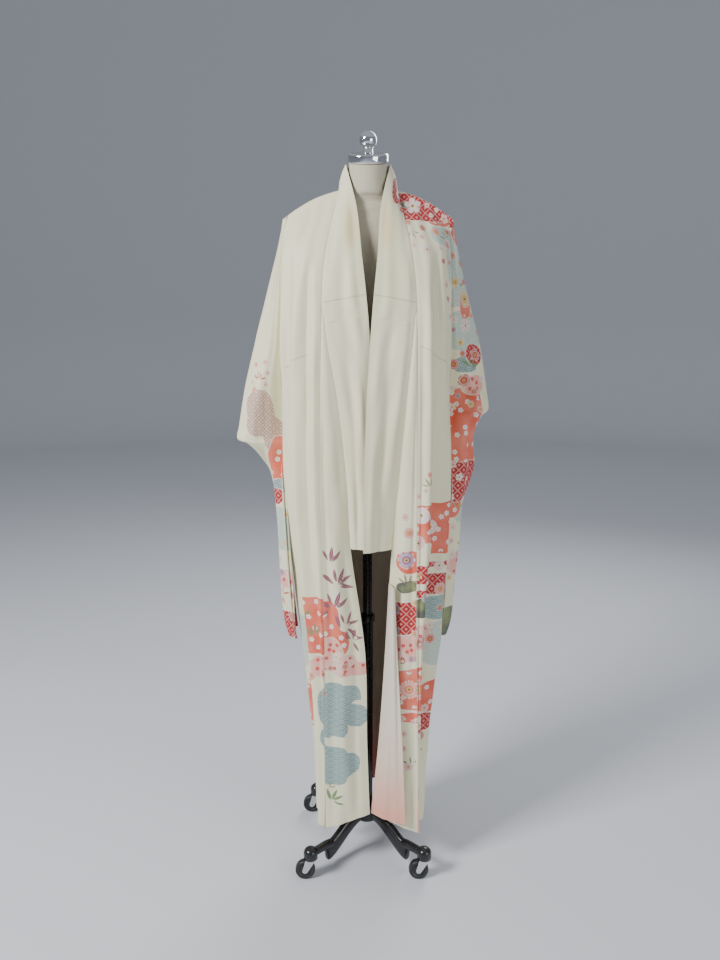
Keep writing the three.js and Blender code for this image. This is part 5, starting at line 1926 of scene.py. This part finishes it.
@dataclass(frozen=True)
class Linen:
    """The form's linen: a plain weave of two crossed threads."""

    name: str = "linen_cover"
    colour: tuple = (0.6, 0.56, 0.43)
    shade: tuple = (0.46, 0.42, 0.31)
    threads: float = 900

    def make(self) -> bpy.types.Material:
        """The finish as a material: the weave is the product of a wave down and a wave round.

        Returns:
            The material.
        """
        graph = Graph(self.name)
        x, y, z = graph.split(graph.objects())
        weave = abs((z * self.threads).math("SINE")) * abs(((x + y) * self.threads).math("SINE"))
        spots = graph.noise(graph.objects(), 90, 3)
        graph.surface(Base_Color=graph.mix((spots * 0.5 + weave * 0.3).held(), self.shade, self.colour),
                      Roughness=0.9, Sheen_Weight=0.2)
        graph.bump(weave + spots * 0.5, 0.35, RELIEF_HEIGHT)
        return graph.material


@dataclass(frozen=True)
class Hard:
    """A hard finish, with fine unevenness in its gloss and surface."""

    name: str
    colour: tuple
    roughness: float
    metallic: float = 0.0
    grain: float = 160
    relief: float = 0.05
    worn: tuple | None = None

    def make(self) -> bpy.types.Material:
        """The finish as a material.

        Returns:
            The material.
        """
        graph = Graph(self.name)
        spots = graph.noise(graph.objects(), self.grain, 3)
        worn = self.worn or tuple(c * 1.25 for c in self.colour)
        graph.surface(Base_Color=graph.mix(((spots - 0.45) * 3).held() * 0.5, self.colour, worn),
                      Roughness=self.roughness * (0.8 + 0.4 * spots) if self.roughness > 0.2
                      else self.roughness + 0.03 * spots, Metallic=self.metallic)
        graph.bump(spots, self.relief, 0.0004)
        return graph.material


CHROME = Hard("chrome_plate", (0.72, 0.73, 0.75), 0.06, metallic=1.0, grain=60, relief=0.01)
ENAMEL = Hard("black_enamel", (0.012, 0.012, 0.013), 0.22, grain=90, relief=0.04, worn=(0.03, 0.03, 0.03))
NYLON = Hard("black_nylon", (0.018, 0.018, 0.018), 0.42, grain=200, relief=0.06, worn=(0.04, 0.04, 0.04))
ZINC = Hard("zinc_steel", (0.74, 0.75, 0.77), 0.27, metallic=1.0, grain=220, relief=0.06,
            worn=(0.5, 0.5, 0.51))
FLOOR = Hard("pale_floor", (0.6, 0.62, 0.66), 0.85, grain=900, relief=0.02, worn=(0.62, 0.64, 0.68))
CREAM = {"colour": (0.8, 0.77, 0.54), "aged": (0.72, 0.685, 0.43)}


# Hardware of the stand

@dataclass(frozen=True)
class Hardware:
    """The hard parts but for the cap: finial, pole, clamp, base and wheels, with sizes in millimetres.

    Fields: the legs' and arms' stations are reach, height, half height and half width.
    """

    stem_radius: float = 11.5
    ball_radius: float = 20.5
    top: float = 1840
    mast_radius: float = 12
    mast_span: tuple = (420, 904.4)
    tube_outer: float = 15
    tube_bore: float = 12.6
    tube_span: tuple = (120.6, 636)
    clamp_radius: float = 19.5
    clamp_span: tuple = (636.6, 656.6)
    wheel_radius: float = 25
    wheel_width: float = 17
    swivel_reach: float = 205
    trail: float = 14
    directions: tuple = (("front_right", -135), ("front_left", -45), ("back_left", 45), ("back_right", 135))
    hub_radius: float = 30
    hub_span: tuple = (78, 120)
    dome_rise: float = 15
    socket_radius: float = 18
    socket_low: float = 54.6
    socket_high: float = 86
    leg: tuple = ((8, 99.5, 19, 12), (43, 96, 19, 11.5), (76, 82, 20, 11), (111, 60, 21, 11),
                  (138, 46, 24, 10.5), (151, 44, 23, 10))
    arm: tuple = ((128, 62, 10, 10.5), (150, 65, 10.5, 10.5), (172, 66, 10, 10), (196, 66, 10, 10))

    def finial(self) -> list:
        """The finial's half section: a stem with a flared foot and a ball.

        Returns:
            Radius and height of each place.
        """
        a = np.linspace(-1.02, math.pi / 2, 25)
        ball = [(self.ball_radius * math.cos(t), self.top - self.ball_radius * (1 - math.sin(t))) for t in a]
        foot, stem = self.top - 2 * self.ball_radius - 12, self.stem_radius
        return [(0, foot), (stem + 2, foot), (stem + 2, foot + 2), (stem, foot + 4),
                (stem, foot + 12), (ball[0][0], foot + 13), *ball[:-1], (0, self.top)]

    @staticmethod
    def ring(outer: float, bore: float, span: tuple, rim: float = 1.0) -> list:
        """A tube's half section, once round from its lower inner corner.

        Args:
            outer: outer radius.
            bore: inner radius.
            span: lowest and highest height.
            rim: size of the outer rims' bevel.

        Returns:
            Radius and height of each place.
        """
        low, high = span
        return [(bore, low), (outer - rim, low), (outer, low + rim), (outer, high - rim), (outer - rim, high),
                (bore, high), (bore, low)]

    @staticmethod
    def sweep(stations: Sequence[tuple], degrees: float, steps: int = 28,
              fine: int = 40) -> tuple[Array, Array]:
        """A rounded bar along a path in an upright plane through the pole.

        Its section is a superellipse of power 2.6, square to the path; near both ends it shrinks
        with a quarter circle.

        Args:
            stations: reach, height, half height and half width at places on the path.
            degrees: direction of the plane.
            steps: places round the section.
            fine: sections along the path.

        Returns:
            Places and faces.
        """
        t = np.linspace(0, len(stations) - 1, fine)
        reach, z, tall, wide = along(stations, range(len(stations)), t).T
        end = np.minimum(t / t[-1], 1 - t / t[-1]) / 0.07
        shrink = np.sqrt(np.maximum(1 - (1 - np.minimum(end, 1)) ** 2, 0.0))
        run = unit(np.stack([np.gradient(reach), np.gradient(z)], -1))
        a = np.arange(steps) / steps * TAU
        x, y = (np.sign(f) * np.abs(f) ** (2 / 2.6) for f in (np.cos(a), np.sin(a)))
        up = (tall * shrink)[:, None] * x
        along_reach, height = reach[:, None] - run[:, 1:] * up, z[:, None] + run[:, :1] * up
        side = (wide * shrink)[:, None] * y
        c, d = math.cos(math.radians(degrees)), math.sin(math.radians(degrees))
        places = np.stack([along_reach * c - side * d, along_reach * d + side * c, height], -1)
        return places.reshape(-1, 3), ring_faces(fine, steps)

    def swivel(self, degrees: float) -> Array:
        """Where a caster's swivel axis meets the floor."""
        a = math.radians(degrees)
        return np.array((self.swivel_reach * math.cos(a), self.swivel_reach * math.sin(a), 0))

    def base(self) -> bpy.types.Object:
        """The cast base: a hub, four arched legs, and a domed socket at the end of each.

        Returns:
            The new piece.
        """
        a = np.linspace(0, math.pi / 2, 10)
        dome = [(self.socket_radius * math.cos(t), self.socket_high - self.dome_rise * (1 - math.sin(t)))
                for t in a]
        socket = [(0, self.socket_low), (self.socket_radius - 1, self.socket_low),
                  (self.socket_radius, self.socket_low + 1), *dome[:-1], (0, self.socket_high)]
        low, high = self.hub_span
        hub = [(0, low), (self.hub_radius - 2, low), (self.hub_radius, low + 2), (self.hub_radius, high - 5),
               (self.hub_radius - 4, high), (0, high)]
        parts = [turned_grid(hub, np.zeros(3), 0, 64)]
        for _, degrees in self.directions:
            parts += [self.sweep(self.leg, degrees), self.sweep(self.arm, degrees),
                      turned_grid(socket, self.swivel(degrees), 0, 48)]
        counts = np.cumsum([0] + [len(places) for places, _ in parts])
        piece = new_mesh("cast_base", to_frame(np.concatenate([places for places, _ in parts])),
                         np.concatenate([faces + start for (_, faces), start in zip(parts, counts)]))
        clean(piece)
        return piece

    def wheel_profile(self) -> list:
        """A wheel's half section: a hub boss, a recessed web, a tyre with rounded shoulders, and back.

        Returns:
            Radius and way along the axle of each place.
        """
        w, r = self.wheel_width / 2, self.wheel_radius
        boss = [(0, -w), (5.5, -w), (6.5, -w + 1), (7, -w + 2.4), (15.5, -w + 2.8)]
        side = boss + [(17, -w + 0.8), (19.5, -w), (r - 2.6, -w), (r - 0.8, -w + 0.9), (r, -w + 3), (r, 0)]
        return side + [(x, -y) for x, y in side[-2::-1]]

    def wheel(self, name: str, degrees: float) -> bpy.types.Object:
        """A wheel at the end of one leg, with its axle level and along Y."""
        hub = self.swivel(degrees) + (-self.trail, 0, self.wheel_radius)
        return revolve(name, self.wheel_profile(), hub, math.pi / 2, 72)


# The studio

def light(name: str, place: Point, aim: Point, size: float, power: float) -> None:
    """A soft square light that looks from its place to its aim.

    Args:
        name: the light's name.
        place: where it stands.
        aim: what it looks at.
        size: length of its edge.
        power: its power in watts.
    """
    lamp = bpy.data.lights.new(name, "AREA")
    lamp.size, lamp.energy = size, power
    holder = bpy.data.objects.new(name, lamp)
    holder.location = place
    holder.rotation_euler = (Vector(aim) - Vector(place)).to_track_quat("-Z", "Y").to_euler()
    bpy.context.scene.collection.objects.link(holder)


@dataclass
class Studio:
    """Camera, floor and lights, in metres; a light's row is its name, place, aim, size and power."""

    camera_height: float = 1.351
    camera_distance: float = 1.933
    camera_x: float = -0.0058
    down: float = math.radians(10)
    lens: float = 29.14
    sensor: float = 36
    span: float = 9.0
    sweep_radius: float = 1.8
    wall_top: float = 8
    sky: tuple = (0.82, 0.85, 0.9, 1)
    sky_strength: float = 0.5
    lights: tuple = (("key", (-2.6, -1.9, 2.9), (0, 0, 1.1), 1.0, 190),
                     ("fill", (2.4, -2.6, 1.3), (0, 0, 0.9), 1.8, 42),
                     ("rim", (1.2, 2.4, 2.8), (0, 0, 1.2), 1.6, 50))

    def backdrop(self) -> bpy.types.Object:
        """A floor that sweeps up into walls on all sides: a bowl turned round the middle.

        Returns:
            The floor and walls in one piece.
        """
        a = np.linspace(0, math.pi / 2, 17)[1:]
        bend = np.stack([self.span + self.sweep_radius * np.sin(a), self.sweep_radius * (1 - np.cos(a))], -1)
        wall = self.span + self.sweep_radius
        line = np.concatenate([[(0.001, 0), (self.span, 0)], bend, [(wall, self.wall_top)]])
        return new_mesh("backdrop", *turned_grid(line, np.zeros(3)))

    def build(self) -> None:
        """Places the camera at the photograph's angle, the pale floor and the soft lights."""
        data = bpy.data.cameras.new("camera")
        data.lens, data.sensor_width = self.lens, self.sensor
        data.clip_start, data.clip_end = 0.05, 100
        camera = bpy.data.objects.new("camera", data)
        camera.location = (self.camera_x, -self.camera_distance, self.camera_height)
        camera.rotation_euler = (math.pi / 2 - self.down, 0, 0)
        bpy.context.scene.collection.objects.link(camera)
        bpy.context.scene.camera = camera
        stage = self.backdrop()
        stage.data.materials.append(FLOOR.make())
        world = bpy.data.worlds.new("studio")
        world.use_nodes = True
        sky = world.node_tree.nodes["Background"].inputs
        sky["Color"].default_value, sky["Strength"].default_value = self.sky, self.sky_strength
        bpy.context.scene.world = world
        for lamp in self.lights:
            light(*lamp)


# The whole

@dataclass(frozen=True)
class Cut:
    """What shows of a piece of cloth before it was hung.

    Fields: width and length in metres, the area in square metres where it isn't a rectangle, and
    whether its first and its last column are seams.
    """

    width: float
    length: float
    area: float | None = None
    seams: tuple = (True, False)


@dataclass
class Garment:
    """The silk garment: its finishes, its cuts, and how it gives at seams and ripples, in millimetres.

    Fields: ripples are rows of length across, length down and phase.
    """

    cream: bpy.types.Material
    painted: bpy.types.Material
    lining: bpy.types.Material
    front: Cut = Cut(0.245, 1.55, seams=(True, True))
    back: Cut = Cut(0.3, 1.6, seams=(True, True))
    overlap: Cut = Cut(0.13, 1.3, 0.11)
    sleeve: Cut = Cut(0.12, 1.05, seams=(True, True))
    turned: Cut = Cut(0.07, 0.7, seams=(False, False))
    collar: Cut = Cut(0.065, 0.61)
    over_collar: Cut = Cut(0.065, 1.12)
    seam_dip: float = 0.9
    seam_width: float = 2.5
    seam_start: float = 0.3
    ripple: float = 0.55
    ripples: tuple = ((46, 310, 0.4), (71, -240, 2.1), (33, 420, 4.4), (120, 150, 1.3))
    calm_width: float = 22
    calm_rows: float = 12
    least_rippled: float = 2.0
    rests: tuple = ("linen_form",)

    def rippled(self, s: Array, z: Array) -> Array:
        """Faint slanting ripples of worn silk: a sum of sines with their own lengths across and down."""
        return self.ripple * sum(np.sin(TAU * (s / a + z / b) + c) for a, b, c in self.ripples)

    def hung(self, node: str, sheet: Sheet, wall: float, seams: tuple) -> Sheet:
        """The sheet sunk along its seams by a bell of the distance, and rippled where it is free to.

        Args:
            node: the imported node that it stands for.
            sheet: its middle surface.
            wall: its thickness in millimetres.
            seams: whether the first and the last column are seams.

        Returns:
            The sheet as it hangs.
        """
        across = sheet.across()
        to_edges = (across, across[:, -1:] - across)
        beside = [np.exp(-(d / self.seam_width) ** 2) for d, at in zip(to_edges, seams) if at]
        dip = self.seam_dip * sum(beside) if beside else np.zeros(across.shape)
        if wall >= self.least_rippled and not node.startswith("sleeve"):
            calm = smooth(np.minimum(*to_edges) / self.calm_width)
            calm = calm * smooth(np.arange(len(across)) / self.calm_rows)[:, None]
            dip = dip - calm * self.rippled(across, sheet.places[..., 2])
        return sheet.dipped(dip)

    def dress(self, node: str, sheet: Sheet, wall: float, cut: Cut, painting: Painting | None = None,
              outside: bpy.types.Material | None = None) -> None:
        """Args:
            node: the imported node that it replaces.
            sheet: its middle surface.
            wall: its thickness in millimetres.
            cut: its flat size and its seams.
            painting: what is painted on it, or None for plain silk.
            outside: its finish outside, if it isn't silk.
        """
        piece = shell(f"silk_{node}", self.hung(node, sheet, wall, cut.seams), wall)
        silk = outside or (self.painted if painting else self.cream)
        piece.data.materials[0], piece.data.materials[1] = silk, self.lining
        # distance to the nearest seam, which the silk's shader turns into a painted shade along each seam
        across = sheet.across()
        to_edges = [d if at else FAR_AWAY for d, at in zip((across, across[:, -1:] - across), cut.seams)]
        nearest = np.broadcast_to(np.minimum(*to_edges), across.shape)
        Painting.store(piece, "seam", nearest + self.seam_start)
        (painting or Painting()).lay(piece, sheet)
        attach(piece, "dressed_form")
        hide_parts(node)
        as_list(self.rests)
        LOG.info("%s: %d faces, %.3f m2 of cloth", piece.name, len(piece.data.polygons), sheet.area())

    def build(self) -> None:
        """Cuts and hangs every sheet, the right side first."""
        body, panels = BodyPanels(), {}
        fronts = {Side.RIGHT: skirt_right(), Side.LEFT: skirt_left()}
        overlaps = {Side.RIGHT: overlap_right(), Side.LEFT: overlap_left()}
        sleeves = {Side.RIGHT: sleeve_right(), Side.LEFT: sleeve_left()}
        for side in Side:
            front, back = body.front(side), body.back(side)
            overlap = body.overlap(side, front)
            panels[side] = (front, back, overlap)
            self.dress(f"front_{side.label}", front, body.wall, self.front, fronts[side])
            self.dress(f"back_{side.label}", back, body.wall, self.back, back_painting(side))
            self.dress(f"overlap_{side.label}", overlap, body.wall, self.overlap, overlaps[side])
            sleeve = Sleeve(side)
            for face, sheet in zip(("front", "back"), sleeve.faces(front, back)):
                self.dress(f"sleeve_{side.label}_{face}", sheet, sleeve.wall, self.sleeve, sleeves[side])
        turned = TurnedEdge()
        edge = turned.sheet(panels[Side.LEFT][2])
        self.dress("overlap_left_turned", edge, turned.silk_wall, self.turned)
        inside = Sheet(edge.raised((turned.silk_wall + turned.lining_wall) / 2 + turned.gap))
        self.dress("turned_lining", inside, turned.lining_wall, self.turned, outside=self.lining)
        collar = Collar()
        paints = {"over_collar": (self.over_collar, over_collar_painting())}
        for name, sheet in collar.parts(collar.sheet(panels)).items():
            cut, painting = paints.get(name, (self.collar, Painting()))
            self.dress(name, sheet, collar.wall, cut, painting)


def put(piece: bpy.types.Object, node: str, body: str, material: bpy.types.Material) -> None:
    """Takes a fine piece in a node's place.

    Args:
        piece: the fine piece.
        node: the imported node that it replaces.
        body: the body that it rides on.
        material: its finish.
    """
    piece.data.materials.append(material)
    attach(piece, body)
    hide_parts(node)
    LOG.info("%s: %d faces", piece.name, len(piece.data.polygons))


def build_hardware(hardware: Hardware, form: DressForm) -> None:
    """Replaces the hard parts by finer ones and gives the kept forks their finish.

    Args:
        hardware: sizes of the hard parts.
        form: the form, which carries the cap.
    """
    chrome, enamel, nylon, zinc = (finish.make() for finish in (CHROME, ENAMEL, NYLON, ZINC))
    axis, foot = np.zeros(3), np.array((0, 0, form.cap_height), float)
    half = form.cap_thickness / 2
    cap = rounded(form.cap_radius, -half, half, 5, 9)
    put(revolve("chrome_cap", cap, foot, form.neck_tilt, 160), "neck_cap", "dressed_form", chrome)
    put(revolve("chrome_finial", hardware.finial(), axis), "finial", "dressed_form", chrome)
    low, high = hardware.mast_span
    mast = [(0, low), *hardware.ring(hardware.mast_radius, 0, hardware.mast_span)[1:-2], (0, high)]
    put(revolve("black_pole", mast, axis, 0, 64), "mast", "dressed_form", enamel)
    tube = hardware.ring(hardware.tube_outer, hardware.tube_bore, hardware.tube_span)
    put(revolve("black_tube", tube, axis, 0, 64), "lower_tube", "stand", enamel)
    clamp = hardware.ring(hardware.clamp_radius, hardware.tube_bore, hardware.clamp_span, 2)
    put(revolve("pole_clamp", clamp, axis, 0, 64), "height_collar", "stand", enamel)
    put(hardware.base(), "base", "stand", enamel)
    for corner, degrees in hardware.directions:
        wheel = hardware.wheel(f"wheel_{corner}", degrees)
        put(wheel, f"caster_wheel_{corner}", f"wheel_{corner}", nylon)
        fork = frame["nodes"][f"caster_fork_{corner}"]
        fork.data.materials.clear()
        fork.data.materials.append(zinc)
        LOG.info("kept node %s", fork.name)


def main() -> None:
    """Builds every sub-assembly in order and reports each piece."""
    logging.basicConfig(level=logging.INFO, format="%(message)s")
    Studio().build()
    form = DressForm()
    put(form.build(), "form", "dressed_form", Linen().make())
    cream, painted = PlainSilk("cream_silk", **CREAM), PaintedSilk("painted_silk", **CREAM)
    Garment(cream.make(), painted.make(), LiningSilk().make()).build()
    build_hardware(Hardware(), form)


if __name__ == "__main__":
    main()
